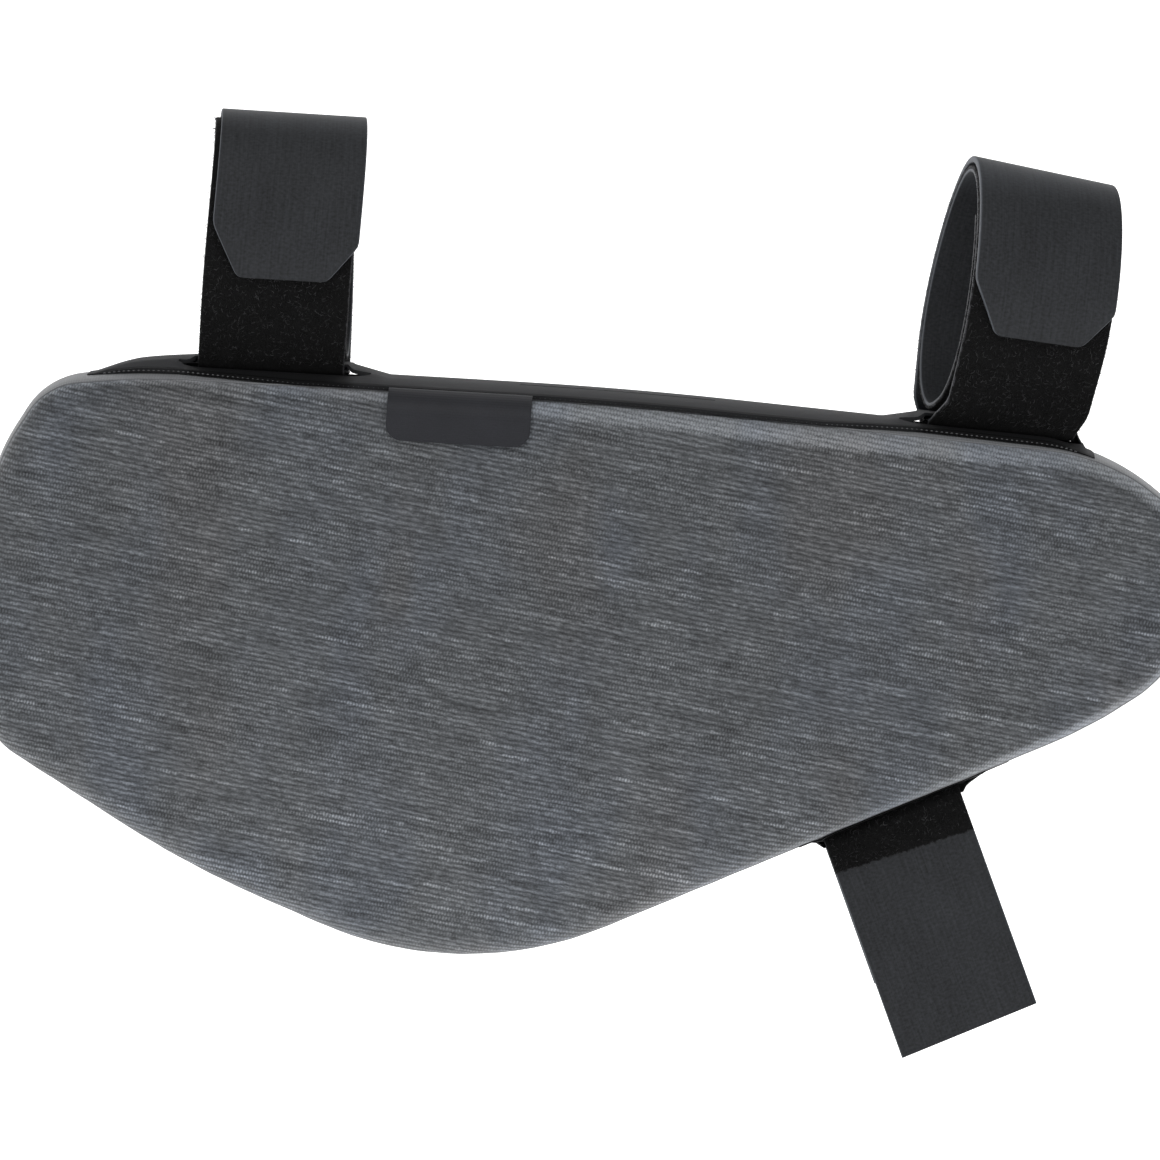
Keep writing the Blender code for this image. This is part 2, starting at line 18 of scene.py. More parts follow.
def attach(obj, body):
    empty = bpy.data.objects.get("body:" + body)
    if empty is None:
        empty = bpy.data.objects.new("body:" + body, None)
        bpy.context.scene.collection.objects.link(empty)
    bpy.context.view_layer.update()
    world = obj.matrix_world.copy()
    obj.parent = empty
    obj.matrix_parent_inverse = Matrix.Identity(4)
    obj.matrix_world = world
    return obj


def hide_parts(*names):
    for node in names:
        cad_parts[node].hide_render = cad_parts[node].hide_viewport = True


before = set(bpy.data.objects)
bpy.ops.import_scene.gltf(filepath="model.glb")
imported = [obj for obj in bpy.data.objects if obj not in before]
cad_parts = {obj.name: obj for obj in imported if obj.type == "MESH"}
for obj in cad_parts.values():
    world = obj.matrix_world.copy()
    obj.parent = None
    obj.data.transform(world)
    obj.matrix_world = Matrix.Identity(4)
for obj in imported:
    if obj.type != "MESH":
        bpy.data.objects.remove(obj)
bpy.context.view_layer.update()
print("CAD nodes:", ", ".join(sorted(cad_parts)))

# %% [markdown]
# ## The camera
#
# The photograph was taken from nearly straight in front with a long lens, a few degrees from
# above, and the bag leans 5 degrees clockwise in it. The lean could be given to the bag, but
# the frame must not move, so the camera is rolled instead. Its three axes are written down
# directly: back from the bag, right and up in the picture.

# %% Camera
TARGET = Vector((-0.0090, -0.0250, -0.0683))
DISTANCE = 1.0
ELEVATION = radians(3.2)
ROLL = radians(5.12)
SEEN_WIDTH = 0.2518
SENSOR = 36.0

back = Vector((0, -np.cos(ELEVATION), np.sin(ELEVATION)))
level_right = Vector((1, 0, 0))
level_up = back.cross(level_right)
right = level_right * np.cos(ROLL) + level_up * np.sin(ROLL)
up = level_up * np.cos(ROLL) - level_right * np.sin(ROLL)

camera_data = bpy.data.cameras.new("photo_camera")
camera_data.sensor_width = SENSOR
camera_data.lens = SENSOR * DISTANCE / SEEN_WIDTH
camera_data.clip_start = 0.05
camera = bpy.data.objects.new("photo_camera", camera_data)
camera.matrix_world = Matrix.Translation(TARGET + back * DISTANCE) @ Matrix(
    (right, up, back)).transposed().to_4x4()
bpy.context.collection.objects.link(camera)
bpy.context.scene.camera = camera
print("lens", round(camera_data.lens, 1), "mm")

# %% [markdown]
# ## Surfaces from numbers
#
# Every new piece is a grid of points, worked out as one numpy array, with faces between
# neighbouring points. Blender's own primitives and modifiers could make some of them, but a
# grid says exactly where each thread of a strap runs. One function turns a grid into a mesh
# and makes its faces look outwards. A second one repeats a small shape, such as a stitch,
# many times in one mesh.

# %% From a grid to a mesh
SHARP_ANGLE = radians(50)


def grid_quads(rows, columns, around=False):
    """Corner numbers of each cell of a grid, row after row. Around closes it sideways."""
    row = np.arange(rows - 1)[:, None] * columns
    here = np.arange(columns if around else columns - 1)[None]
    ahead = (here + 1) % columns
    corners = [row + here, row + ahead, row + columns + ahead, row + columns + here]
    return np.stack(corners, axis=-1).reshape(-1, 4)


def facing(points, faces, heart):
    """The faces, all turned round if most of them look towards the heart of the piece."""
    a, b, c = (points[faces[:, k]] for k in (0, 1, 2))
    out = np.cross(b - a, c - a)
    middle = points[faces].mean(axis=1)
    if (out * (middle - heart)).sum() < 0:
        return faces[:, ::-1]
    return faces


def make_piece(name, points, faces, finish, replaces, marks=None, uv=None, sharp=True):
    """A shown piece: its mesh, its finish, and what the frame has to know about it."""
    mesh = bpy.data.meshes.new(name)
    lists = [face.tolist() for face in faces] if isinstance(faces, list) else [faces.tolist()]
    mesh.from_pydata(points.tolist(), [], [face for group in lists for face in group])
    corner = np.empty(len(mesh.loops), np.int32)
    mesh.loops.foreach_get("vertex_index", corner)
    if uv is not None:
        layer = mesh.uv_layers.new(name="cloth")
        layer.data.foreach_set("uv", uv.reshape(-1, 2)[corner].astype(np.float32).ravel())
    for title, values in (marks or {}).items():
        mark = mesh.attributes.new(title, "FLOAT", "POINT")
        mark.data.foreach_set("value", np.ascontiguousarray(values, np.float32).ravel())
    mesh.shade_smooth()
    if sharp:
        mesh.set_sharp_from_angle(angle=SHARP_ANGLE)
    mesh.materials.append(finish)
    piece = bpy.data.objects.new(name, mesh)
    bpy.context.collection.objects.link(piece)
    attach(piece, "root")
    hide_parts(*replaces)
    print(f"{name}: {len(mesh.vertices)} points, {len(mesh.polygons)} faces")
    return piece


def repeated(shape, faces, origins, axes):
    """Copies of a small shape: each point is the origin plus the three axes, each times one
    of the point's coordinates. The faces count on from copy to copy."""
    points = origins[:, None] + np.einsum("pk,nkj->npj", shape, axes)
    step = np.arange(len(origins))[:, None, None] * len(shape)
    return points.reshape(-1, 3), (faces[None] + step).reshape(-1, faces.shape[1])


def unit(vectors):
    return vectors / np.linalg.norm(vectors, axis=-1, keepdims=True)


# %% [markdown]
# ## Finishes from expressions
#
# A finish is a small program of shader nodes. Wiring nodes by hand hides the formula, so two
# small classes let it be read as one: a Wire is a socket that arithmetic works on, and a
# Finish owns the nodes of one material. What is the same all over a surface is set on the
# Principled shader's own socket, and only what varies is wired.

# %% Wires and finishes
class Wire:
    """A number that varies over a surface. Each operator adds one Math node."""

    def __init__(self, finish, socket):
        self.finish, self.socket = finish, socket

    def __add__(self, other):
        return self.finish.math("ADD", self, other)

    def __sub__(self, other):
        return self.finish.math("SUBTRACT", self, other)

    def __rsub__(self, other):
        return self.finish.math("SUBTRACT", other, self)

    def __mul__(self, other):
        return self.finish.math("MULTIPLY", self, other)

    def __truediv__(self, other):
        return self.finish.math("DIVIDE", self, other)

    __radd__ = __add__
    __rmul__ = __mul__


class Finish:
    """One material. Its sockets are set by name, with a number, a colour or a Wire."""

    def __init__(self, name, **constants):
        self.material = bpy.data.materials.new(name)
        self.material.use_nodes = True
        self.tree = self.material.node_tree
        self.shader = self.tree.nodes["Principled BSDF"]
        for socket, value in constants.items():
            self.feed(self.shader.inputs[socket.replace("_", " ")], value)

    def feed(self, socket, value):
        """Links a Wire to a socket, or sets the socket's own value."""
        if isinstance(value, Wire):
            self.tree.links.new(value.socket, socket)
        elif isinstance(value, tuple) and socket.type == "RGBA":
            socket.default_value = (*value, 1.0)
        else:
            socket.default_value = value

    def node(self, kind, settings, inputs, output=0):
        """Any node: its type, its settings, and the values or links of its sockets."""
        node = self.tree.nodes.new("ShaderNode" + kind)
        for key, value in settings.items():
            setattr(node, key, value)
        for key, value in inputs.items():
            self.feed(node.inputs[key], value)
        return Wire(self, node.outputs[output])

    def math(self, operation, *values):
        return self.node("Math", {"operation": operation}, dict(enumerate(values)))

    def ramp(self, value, low, high, out_low=0.0, out_high=1.0):
        """Eases from one value to another while the input goes from low to high."""
        return self.node("MapRange", {"interpolation_type": "SMOOTHSTEP"}, {
            "Value": value, "From Min": low, "From Max": high,
            "To Min": out_low, "To Max": out_high})

    def mix(self, share, low, high):
        """From one colour to another by a share."""
        return self.node("Mix", {"data_type": "RGBA"}, {0: share, 6: low, 7: high}, 2)

    def shade(self, colour, strength):
        """A colour made lighter or darker all through."""
        return self.node("VectorMath", {"operation": "SCALE"}, {0: colour, "Scale": strength})

    def place(self):
        """X, Y and Z of the point on the bag."""
        here = self.node("TexCoord", {}, {}, "Object")
        return [self.node("SeparateXYZ", {}, {0: here}, k) for k in range(3)]

    def cloth(self):
        """Distance along the cloth and across it, from the piece's own UV map."""
        here = self.node("UVMap", {"uv_map": "cloth"}, {})
        return [self.node("SeparateXYZ", {}, {0: here}, k) for k in range(2)]

    def mark(self, title):
        return self.node("Attribute", {"attribute_name": title}, {}, "Fac")

    def point(self, x=0.0, y=0.0, z=0.0):
        return self.node("CombineXYZ", {}, {0: x, 1: y, 2: z})

    def noise(self, where, scale=1.0, detail=2.0, rough=0.5):
        return self.node("TexNoise", {}, {
            "Vector": where, "Scale": scale, "Detail": detail, "Roughness": rough})

    def finish(self, colour, roughness, height, depth):
        """Wires colour, roughness and relief, whose depth is in metres, to the shader."""
        bump = self.node("Bump", {}, {"Height": height, "Distance": depth, "Strength": 1.0})
        for socket, value in (("Base Color", colour), ("Roughness", roughness), ("Normal", bump)):
            self.feed(self.shader.inputs[socket], value)
        return self.material


# %% [markdown]
# ## The ribbed fabric
#
# Seen close, the cloth is a row of fine ribs, 1.1 mm apart, which run a few degrees down
# towards the nose. Upright threads cross the ribs, and they lie half a step further on in each
# next rib, as bricks do. Here and there a rib's yarn is thicker for a centimetre or two: that
# is a slub, where the upright threads spread and show as light ticks. An image could give
# this, but nodes give it at any distance: the place on the bag says which rib a point is on,
# and noise that is stretched along each rib says where it slubs. Where the cloth turns over
# the shoulder it is stretched and its ribs are faint, and they deepen raggedly below; there it
# is also painted lighter, a painted highlight along the turn. Each point of the panel knows how
# far above that line it lies.

# %% Ribbed fabric
RIB_PITCH, THREAD_PITCH, RIB_SLOPE = 0.001085, 0.000684, 0.114
FABRIC_GREY, FABRIC_BLUE, FABRIC_BROWN = (
    (0.0670, 0.0712, 0.0762), (0.0650, 0.0712, 0.0810), (0.0684, 0.0702, 0.0735))


def make_ribbed_fabric():
    cloth = Finish("ribbed_fabric_finish", Sheen_Weight=0.06, Sheen_Roughness=0.4, IOR=1.4,
                   Specular_IOR_Level=0.35)
    x, y, z = cloth.place()
    along, across = x - z * RIB_SLOPE, z + x * RIB_SLOPE
    sway = cloth.noise(cloth.point(along * 60, across * 260), 1.0, 2.0) - 0.5
    jitter = cloth.noise(cloth.point(along * 900, across * 1100), 1.0, 2.0) - 0.5
    level = (across + sway * 0.0011 + jitter * 0.0008) / RIB_PITCH
    rib = cloth.math("FLOOR", level)
    crown = cloth.ramp(cloth.math("PINGPONG", level - rib, 0.5) * 2, 0.0, 1.0)
    thread = cloth.math("PINGPONG", along / THREAD_PITCH + rib * 0.5 + jitter * 0.5, 0.5) * 2
    tick = cloth.ramp(thread, 0.20, 0.90)

    fleck = cloth.noise(cloth.point(along * 1300, rib * 2.31, 1.3), 1.0, 1.0)
    short = cloth.noise(cloth.point(along * 130, rib * 5.13, 3.7), 1.0, 3.0, 0.7) - 0.5
    long = cloth.noise(cloth.point(along * 28, rib * 3.71, 9.2), 1.0, 1.0)
    broad = cloth.noise(cloth.point(along * 70, across * 500), 1.0, 3.0, 0.7) - 0.5
    rough = cloth.noise(cloth.point(along * 600, across * 1900), 1.0, 4.0, 0.8) - 0.5
    patch = cloth.noise(cloth.point(along * 40, across * 90), 1.0, 3.0, 0.7)
    lively = cloth.ramp(patch, 0.38, 0.62, 0.25, 1.0)
    slub = cloth.ramp(long, 0.54, 0.66) * cloth.ramp(short, -0.06, 0.14)

    # Painted shade: the crowns of the ribs are painted lighter and their grooves darker, on top of
    # their bump.
    light = 0.98 + (crown - 0.5) * (0.66 + broad * 1.4)
    light = light * (1 + short * 1.6 + broad * 1.3)
    light = light + (tick - 0.45) * (0.25 + crown * 0.75) * (lively * 0.80)
    light = light + slub * crown * (0.20 + tick * (0.5 + fleck * 1.7))
    # Painted light: the cloth is painted up to 22% lighter towards the bottom of the bag.
    light = light * (1 + rough * 3.0) * cloth.ramp(z, -0.150, -0.085, 1.22, 1.0)

    # Painted highlight: in a band along the shoulder, down to a ragged line, the cloth is painted much
    # lighter and its ribs fade.
    above = cloth.mark("above")
    ragged = cloth.noise(cloth.point(x * 260, 0.0, z * 90), 1.0, 2.0, 0.6) - 0.5
    band = cloth.ramp(above + ragged * 0.0016, -0.0009, 0.0014)
    hem = cloth.ramp(cloth.math("ABSOLUTE", above + ragged * 0.0006), 0.0, 0.0005, 1.0, 0.0)
    plain = 2.55 + (crown - 0.5) * 1.1 + rough * 5.0 + (tick - 0.5) * 1.0 + short * 1.3
    light = light + (plain - light) * band + hem * tick * (0.2 + fleck * 0.9)

    tint = cloth.noise(cloth.point(x * 42, 5.0, z * 19), 1.0, 2.0)
    other = cloth.noise(cloth.point(x * 36, 11.0, z * 15), 1.0, 2.0)
    colour = cloth.mix(cloth.ramp(tint, 0.42, 0.66), FABRIC_GREY, FABRIC_BLUE)
    colour = cloth.mix(cloth.ramp(other, 0.48, 0.70), colour, FABRIC_BROWN)
    height = (crown * (0.8 + slub * 0.4) + tick * crown * (0.2 + slub * 0.3)) * (1 - band)
    return cloth.finish(cloth.shade(colour, light), 0.84 - crown * 0.16, height + rough * 0.2, 0.00014)


ribbed_fabric = make_ribbed_fabric()
print("ribs", round(RIB_PITCH * 1000, 2), "mm apart")

# %% [markdown]
# ## The outline
#
# The bag's outline is eleven corners, each turned into an arc. The CAD model draws the arcs in
# coarse steps, and here the same corners are drawn finely and then stepped evenly, so that
# cloth follows them smoothly. The normals of the line say which way is out of the bag.

# %% Outline of the bag
BAG_LENGTH, BAG_HEIGHT, BAG_DEPTH = 0.2673, 0.1266, 0.0500
FACE_BULGE, SHOULDER = 0.0030, 0.0080
TUBE_TO_BAG, TUBE_SHARE = 0.0278, 0.5256
HALF_DEPTH = BAG_DEPTH / 2
Corner = namedtuple("Corner", "along down round")
OUTLINE = (
    Corner(0.0392, 0.0553, 0.127),
    Corner(0.1235, 0.0236, 1.020),
    Corner(0.5153, -0.0020, 8.054),
    Corner(0.9161, 0.0123, 0.385),
    Corner(0.9959, 0.1375, 0.148),
    Corner(1.0039, 0.3697, 0.238),
    Corner(0.9215, 0.5067, 0.860),
    Corner(0.4252, 1.0533, 0.635),
    Corner(0.1894, 0.8859, 1.722),
    Corner(0.0050, 0.6794, 0.145),
    Corner(-0.0011, 0.2157, 0.302),
)
CHIN, KEEL = 6, 7
FACE_CENTRE = Corner(0.4600, 0.4275, 0.0)
ARC_STEP = radians(3)
RIM_STEPS = 720


def place(along, down):
    """X and Z of a place given by shares of the bag's length and height."""
    return np.array([(along - TUBE_SHARE) * BAG_LENGTH, -TUBE_TO_BAG - down * BAG_HEIGHT])


def rounded(corners, radii):
    """Each corner becomes an arc: its centre lies on the line that halves the corner, and its
    points swing from one side to the other by spherical interpolation."""
    corners = np.asarray(corners, float)
    on = unit(np.roll(corners, -1, axis=0) - corners)
    back = -np.roll(on, 1, axis=0)
    half = np.arccos(np.clip((back * on).sum(axis=1), -1, 1)) / 2
    pieces = []
    for here, ahead, behind, opening, radius in zip(corners, on, back, half, radii):
        if radius == 0:
            pieces.append(here[None])
            continue
        reach = radius / tan(opening)
        centre = here + unit(behind + ahead) * radius / sin(opening)
        first, last = here + behind * reach - centre, here + ahead * reach - centre
        turn = pi - 2 * opening
        share = np.linspace(0, 1, max(ceil(turn / ARC_STEP), 6) + 1)[:, None]
        arc = (np.sin((1 - share) * turn) * first + np.sin(share * turn) * last) / sin(turn)
        pieces.append(centre + arc)
    return np.concatenate(pieces)


def travelled(line):
    """Distance along a line at each of its points."""
    return np.concatenate([[0.0], np.cumsum(np.linalg.norm(np.diff(line, axis=0), axis=1))])


def at_travel(travel, gone, line):
    """Points of a line at distances along it, each coordinate interpolated."""
    return np.stack([np.interp(travel, gone, column) for column in line.T], axis=-1)


corners = rounded([place(c.along, c.down) for c in OUTLINE], [c.round * BAG_HEIGHT for c in OUTLINE])
looped = np.concatenate([corners, corners[:1]])
RIM_LENGTH = travelled(looped)[-1]
RIM_AT = np.linspace(0, RIM_LENGTH, RIM_STEPS + 1)
RIM = at_travel(RIM_AT, travelled(looped), looped)[:-1]
run = unit(np.roll(RIM, -1, axis=0) - np.roll(RIM, 1, axis=0))
RIM_NORMAL = np.stack([-run[:, 1], run[:, 0]], axis=1)
CENTRE = place(FACE_CENTRE.along, FACE_CENTRE.down)
HEART = np.array([CENTRE[0], 0.0, CENTRE[1]])
print("outline", round(RIM_LENGTH * 1000, 1), "mm round")


def rim_point(travel):
    """Points and outward normals of the outline at distances along it."""
    points = np.concatenate([RIM, RIM[:1]])
    normals = np.concatenate([RIM_NORMAL, RIM_NORMAL[:1]])
    return at_travel(travel, RIM_AT, points), unit(at_travel(travel, RIM_AT, normals))


def with_depth(flat, depth):
    """X, Y, Z of points in the bag's plane at a depth along Y."""
    return np.stack([flat[..., 0], np.broadcast_to(depth, flat.shape[:-1]), flat[..., 1]], axis=-1)


# %% [markdown]
# ## The sewn body
#
# The real bag is two flat faces and a long band, the gusset, sewn edge to edge and turned
# right side out, so the seam lies a little way round the shoulder. A box with a bevel would
# have one even edge. Here the shoulder is a superellipse, which starts flat on the gusset and
# turns late, and each panel is its own grid that ends at the seam. The cloth is drawn in at
# the seam, and it ripples a little there between the stitches.

# %% Shape of the shoulder
SHOULDER_POWER = 2.5
PUCKER_PITCH, PUCKER_DRIFT, PUCKER_DEPTH, PUCKER_FADE = 0.0085, 1.37, 0.00012, 0.0040
PUCKER_OUT = 0.15
SEAM_SINK, SEAM_FADE = 0.00025, 0.0006

# By the share of the way round: how far in the seam lies, and how far the painted highlight band goes.
Edge = namedtuple("Edge", "around seam band")
EDGES = (
    Edge(0.000, 0.0019, 0.0024),
    Edge(0.040, 0.0021, 0.0031),
    Edge(0.140, 0.0021, 0.0046),
    Edge(0.200, 0.0021, 0.0062),
    Edge(0.280, 0.0021, 0.0066),
    Edge(0.340, 0.0021, 0.0056),
    Edge(0.380, 0.0016, 0.0042),
    Edge(0.430, 0.0014, 0.0026),
    Edge(0.490, 0.0011, 0.0032),
    Edge(0.560, 0.0009, 0.0028),
    Edge(0.640, 0.0007, 0.0012),
    Edge(0.720, 0.0006, 0.0008),
    Edge(0.860, 0.0006, 0.0008),
    Edge(0.920, 0.0014, 0.0016),
    Edge(1.000, 0.0019, 0.0024),
)
around = RIM_AT[:-1] / RIM_LENGTH
SEAM_INSET, PAINTED_BAND_INSET = (np.interp(around, [e.around for e in EDGES], [e[k] for e in EDGES])
                          for k in (1, 2))
SEAM_SHARE = (1 - (1 - SEAM_INSET / SHOULDER) ** SHOULDER_POWER) ** (1 / SHOULDER_POWER)
SEAM_DEPTH = HALF_DEPTH * SEAM_SHARE


def gusset_inset(depth):
    """How far in from the outline the cloth lies at a depth from the middle: a superellipse,
    one less the root of one less the depth's share, both to the shoulder's power."""
    share = np.clip(np.abs(depth) / HALF_DEPTH, 0, 1)
    return SHOULDER * (1 - (1 - share**SHOULDER_POWER) ** (1 / SHOULDER_POWER))


def pucker(travel, from_seam):
    """A ripple along the seam, two sines that drift apart, which dies out away from it."""
    turn = 2 * pi * travel / PUCKER_PITCH
    wave = np.sin(turn) + np.sin(turn / PUCKER_DRIFT)
    return PUCKER_DEPTH * wave * np.exp(-from_seam / PUCKER_FADE)


def far_face_depth(flat):
    """How far out a face lies at a place in the bag's plane: it swells by one less the square
    of the share of the way from the face's centre to its edge."""
    edge = RIM - RIM_NORMAL * SHOULDER - CENTRE
    bearing = np.arctan2(edge[:, 1], edge[:, 0])
    order = bearing.argsort()
    arm = flat - CENTRE
    reach = np.interp(np.arctan2(arm[..., 1], arm[..., 0]), bearing[order],
                      np.linalg.norm(edge, axis=1)[order], period=2 * pi)
    share = np.linalg.norm(arm, axis=-1) / reach
    return HALF_DEPTH + FACE_BULGE * (1 - np.minimum(share, 1) ** 2)


def shoulder_rings(steps):
    """Rings of a face panel from the seam to the flat of the face, and their insets. The angle
    of the superellipse goes from the seam to a right angle; its sine gives the depth."""
    start = np.arcsin(SEAM_SHARE ** (SHOULDER_POWER / 2))
    angle = start + (pi / 2 - start) * np.linspace(0, 1, steps)[:, None]
    depth = HALF_DEPTH * np.sin(angle) ** (2 / SHOULDER_POWER)
    inset = SHOULDER * (1 - np.clip(np.cos(angle), 0, 1) ** (2 / SHOULDER_POWER))
    from_seam = np.hypot(depth - depth[0], inset - inset[0])
    ripple = pucker(RIM_AT[:-1], from_seam)
    drawn_in = inset + SEAM_SINK * np.exp(-from_seam / SEAM_FADE) - ripple * PUCKER_OUT
    flat = RIM - RIM_NORMAL * drawn_in[..., None]
    return with_depth(flat, depth + ripple), inset


print("seam", *(round(float(d * 1000), 1) for d in (SEAM_DEPTH.min(), SEAM_DEPTH.max())),
      "mm from the middle")

# %% Front face
FACE_RINGS, FRONT_SHOULDER_RINGS, FAR_SHOULDER_RINGS = 44, 22, 16
DIMPLE_DEPTH = 0.00018


def dimple(flat):
    """Slow unevenness of a stretched cloth: a few long waves that cross."""
    x, z = flat[..., 0] * 2 * pi, flat[..., 1] * 2 * pi
    return DIMPLE_DEPTH * (np.sin(x / 0.071 + z / 0.113) + np.sin(x / 0.047 - z / 0.083 + 1.1)
                           + 0.6 * np.sin(x / 0.029 + z / 0.051 + 2.3))


def front_face():
    """The shoulder's rings, then rings scaled towards the face's centre, then one point."""
    shoulder, inset = shoulder_rings(FRONT_SHOULDER_RINGS)
    edge = shoulder[-1][:, [0, 2]]
    share = np.linspace(1, 0, FACE_RINGS + 1)[1:-1, None]
    flat = CENTRE + (edge[None] - CENTRE) * share[..., None]
    swell = FACE_BULGE * (1 - share**2) + dimple(flat) * (1 - share**2)
    face = with_depth(flat, HALF_DEPTH + swell)
    rings = np.concatenate([shoulder, face])
    middle = np.array([[CENTRE[0], HALF_DEPTH + FACE_BULGE + dimple(CENTRE), CENTRE[1]]])
    points = np.concatenate([rings.reshape(-1, 3), middle]) * (1, -1, 1)
    last = (len(rings) - 1) * RIM_STEPS + np.arange(RIM_STEPS)
    ahead = (len(rings) - 1) * RIM_STEPS + (np.arange(RIM_STEPS) + 1) % RIM_STEPS
    fan = np.stack([last, ahead, np.full(RIM_STEPS, len(points) - 1)], axis=1)
    quads = grid_quads(len(rings), RIM_STEPS, around=True)
    arm = np.linalg.norm(edge - CENTRE, axis=1)
    inset = np.concatenate([inset, SHOULDER + arm * (1 - share)])
    above = np.append((PAINTED_BAND_INSET - inset).ravel(), -arm.mean())
    return points, [facing(points, quads, HEART), facing(points, fan, HEART)], above


points, faces, above = front_face()
make_piece("bag_front", points, faces, ribbed_fabric, ["bag_shell"],
           marks={"above": above})

# %% [markdown]
# ## The far face and its zip slot
#
# The photograph doesn't show the far side. A bag needs a way in, so a plain closed zip runs
# along its upper part. The cloth round it could be cut with a Boolean, which leaves ragged
# faces. Here the panel is an annulus instead: each point of the slot's edge is joined to a
# point of the shoulder, and the rings between them bend from one shape to the other.

# %% Far face
ZIP_LENGTH, ZIP_HEIGHT = 0.1900, 0.0110
ZIP_MIDDLE = place(0.4700, 0.1960)
ZIP_FOLD, ZIP_CORNER = 0.0016, 0.0012
SLOT_MATCHES = ((0.03, 0.1), (0.95, 0.1), (0.93, 0.47), (0.03, 0.75))


def slot_line(grow):
    """The slot's edge as a rounded box, one point for each point of the outline. The box's
    four corners are matched with four places of the outline, and distance along the box goes
    evenly between them."""
    half = np.array([ZIP_LENGTH / 2 + grow, ZIP_HEIGHT / 2 + grow])
    box = ZIP_MIDDLE + half * np.array([(-1, 1), (1, 1), (1, -1), (-1, -1)])
    line = rounded(box, [ZIP_CORNER + max(grow, 0)] * 4)
    line = np.concatenate([line, line[:1]])
    gone = travelled(line)
    quarter = [gone[np.linalg.norm(line - c, axis=1)[:-1].argmin()] for c in box]
    match = [int(np.linalg.norm(RIM - place(*c), axis=1).argmin()) for c in SLOT_MATCHES]
    order = np.array(match + [match[0] + RIM_STEPS])
    travel = np.interp(np.arange(match[0], match[0] + RIM_STEPS), order,
                       quarter + [quarter[0] + gone[-1]])
    points = at_travel(np.mod(travel, gone[-1]), gone, line)
    return np.roll(points, match[0], axis=0)


def far_face():
    """The shoulder's rings, rings between it and the slot, and the fold into the slot."""
    shoulder, inset = shoulder_rings(FAR_SHOULDER_RINGS)
    edge = shoulder[-1][:, [0, 2]]
    slot = slot_line(ZIP_FOLD / 2)
    share = np.linspace(0, 1, FACE_RINGS)[1:, None, None]
    flat = edge[None] + (slot[None] - edge[None]) * share
    face = with_depth(flat, far_face_depth(flat) + dimple(flat) * np.sin(pi * share[..., 0]))
    turn = np.linspace(0, pi / 2, 7)[1:, None]
    depth = far_face_depth(slot)[None]
    fold = slot + (slot_line(0.0) - slot) * np.sin(turn)[..., None]
    fold = with_depth(fold, depth - ZIP_FOLD / 2 * (1 - np.cos(turn)))
    inside = fold[-1:] - (0, ZIP_FOLD, 0)
    rings = np.concatenate([shoulder, face, fold, inside])
    quads = grid_quads(len(rings), RIM_STEPS, around=True)
    above = np.full(rings.shape[:2], -SHOULDER)
    above[:len(inset)] = PAINTED_BAND_INSET - inset
    return rings.reshape(-1, 3), facing(rings.reshape(-1, 3), quads, HEART), above


points, faces, above = far_face()
make_piece("bag_far", points, faces, ribbed_fabric, ["bag_shell"],
           marks={"above": above})

# %% [markdown]
# ## The gusset and its seams
#
# The band between the faces is a smoother cloth, a little lighter, with a fine plain weave.
# Each seam is a narrow rolled edge. The gusset's points are the outline, moved in by the
# shoulder's superellipse, and the roll is a small circle carried round the seam.

# %% Smooth cloth
def make_gusset_cloth():
    cloth = Finish("gusset_cloth_finish", Sheen_Weight=0.15, Sheen_Roughness=0.4, IOR=1.4)
    along, across = cloth.cloth()
    warp = cloth.math("PINGPONG", along / 0.00062, 0.5) * 2
    weft = cloth.math("PINGPONG", across / 0.00062, 0.5) * 2
    broken = cloth.noise(cloth.point(along * 700, across * 260), 1.0, 2.0)
    patch = cloth.noise(cloth.point(along * 60, across * 140), 1.0, 3.0, 0.6)
    weave = warp * weft
    light = (0.80 + weave * 0.22) * (0.82 + broken * 0.36) * (0.9 + patch * 0.2)
    colour = cloth.shade((0.165, 0.170, 0.178), light)
    return cloth.finish(colour, 0.55 + broken * 0.15, weave * 0.6 + broken * 0.5, 0.00010)


gusset_cloth = make_gusset_cloth()

# %% Gusset and rolled seams
ROLL_RADIUS, ROLL_SINK, ROLL_SIDES = 0.00028, 0.00015, 8


def gusset_band():
    """Rows go round the outline and columns from seam to seam across the band."""
    depth = np.linspace(-1, 1, 31)[:, None] * SEAM_DEPTH
    from_seam = SEAM_DEPTH - np.abs(depth)
    sink = SEAM_SINK * np.exp(-from_seam / SEAM_FADE) + gusset_inset(depth)
    flat = RIM - RIM_NORMAL * (sink - pucker(RIM_AT[:-1], from_seam) * PUCKER_OUT)[..., None]
    points = with_depth(flat, depth)
    uv = np.stack(np.broadcast_arrays(RIM_AT[:-1][None], depth), axis=-1)
    quads = grid_quads(len(depth), RIM_STEPS, around=True)
    return points.reshape(-1, 3), facing(points.reshape(-1, 3), quads, HEART), uv


def seam_roll(side):
    """A small circle carried along the seam on one side of the bag."""
    angle = np.arange(ROLL_SIDES) * 2 * pi / ROLL_SIDES
    ripple = pucker(RIM_AT[:-1], 0.0) * PUCKER_OUT
    middle = RIM - RIM_NORMAL * (SEAM_INSET + ROLL_SINK - ripple)[:, None]
    flat = middle[:, None] + RIM_NORMAL[:, None] * (ROLL_RADIUS * np.cos(angle))[:, None]
    depth = side * (SEAM_DEPTH[:, None] + ROLL_RADIUS * np.sin(angle))
    points = with_depth(flat, depth).reshape(-1, 3)
    quads = grid_quads(RIM_STEPS + 1, ROLL_SIDES, around=True) % len(points)
    uv = np.stack(np.broadcast_arrays(RIM_AT[:-1, None], ROLL_RADIUS * angle), axis=-1)
    heart = np.repeat(with_depth(middle, side * SEAM_DEPTH), ROLL_SIDES, axis=0)
    heart = heart[quads].mean(axis=1)
    return points, facing(points, quads, heart), uv


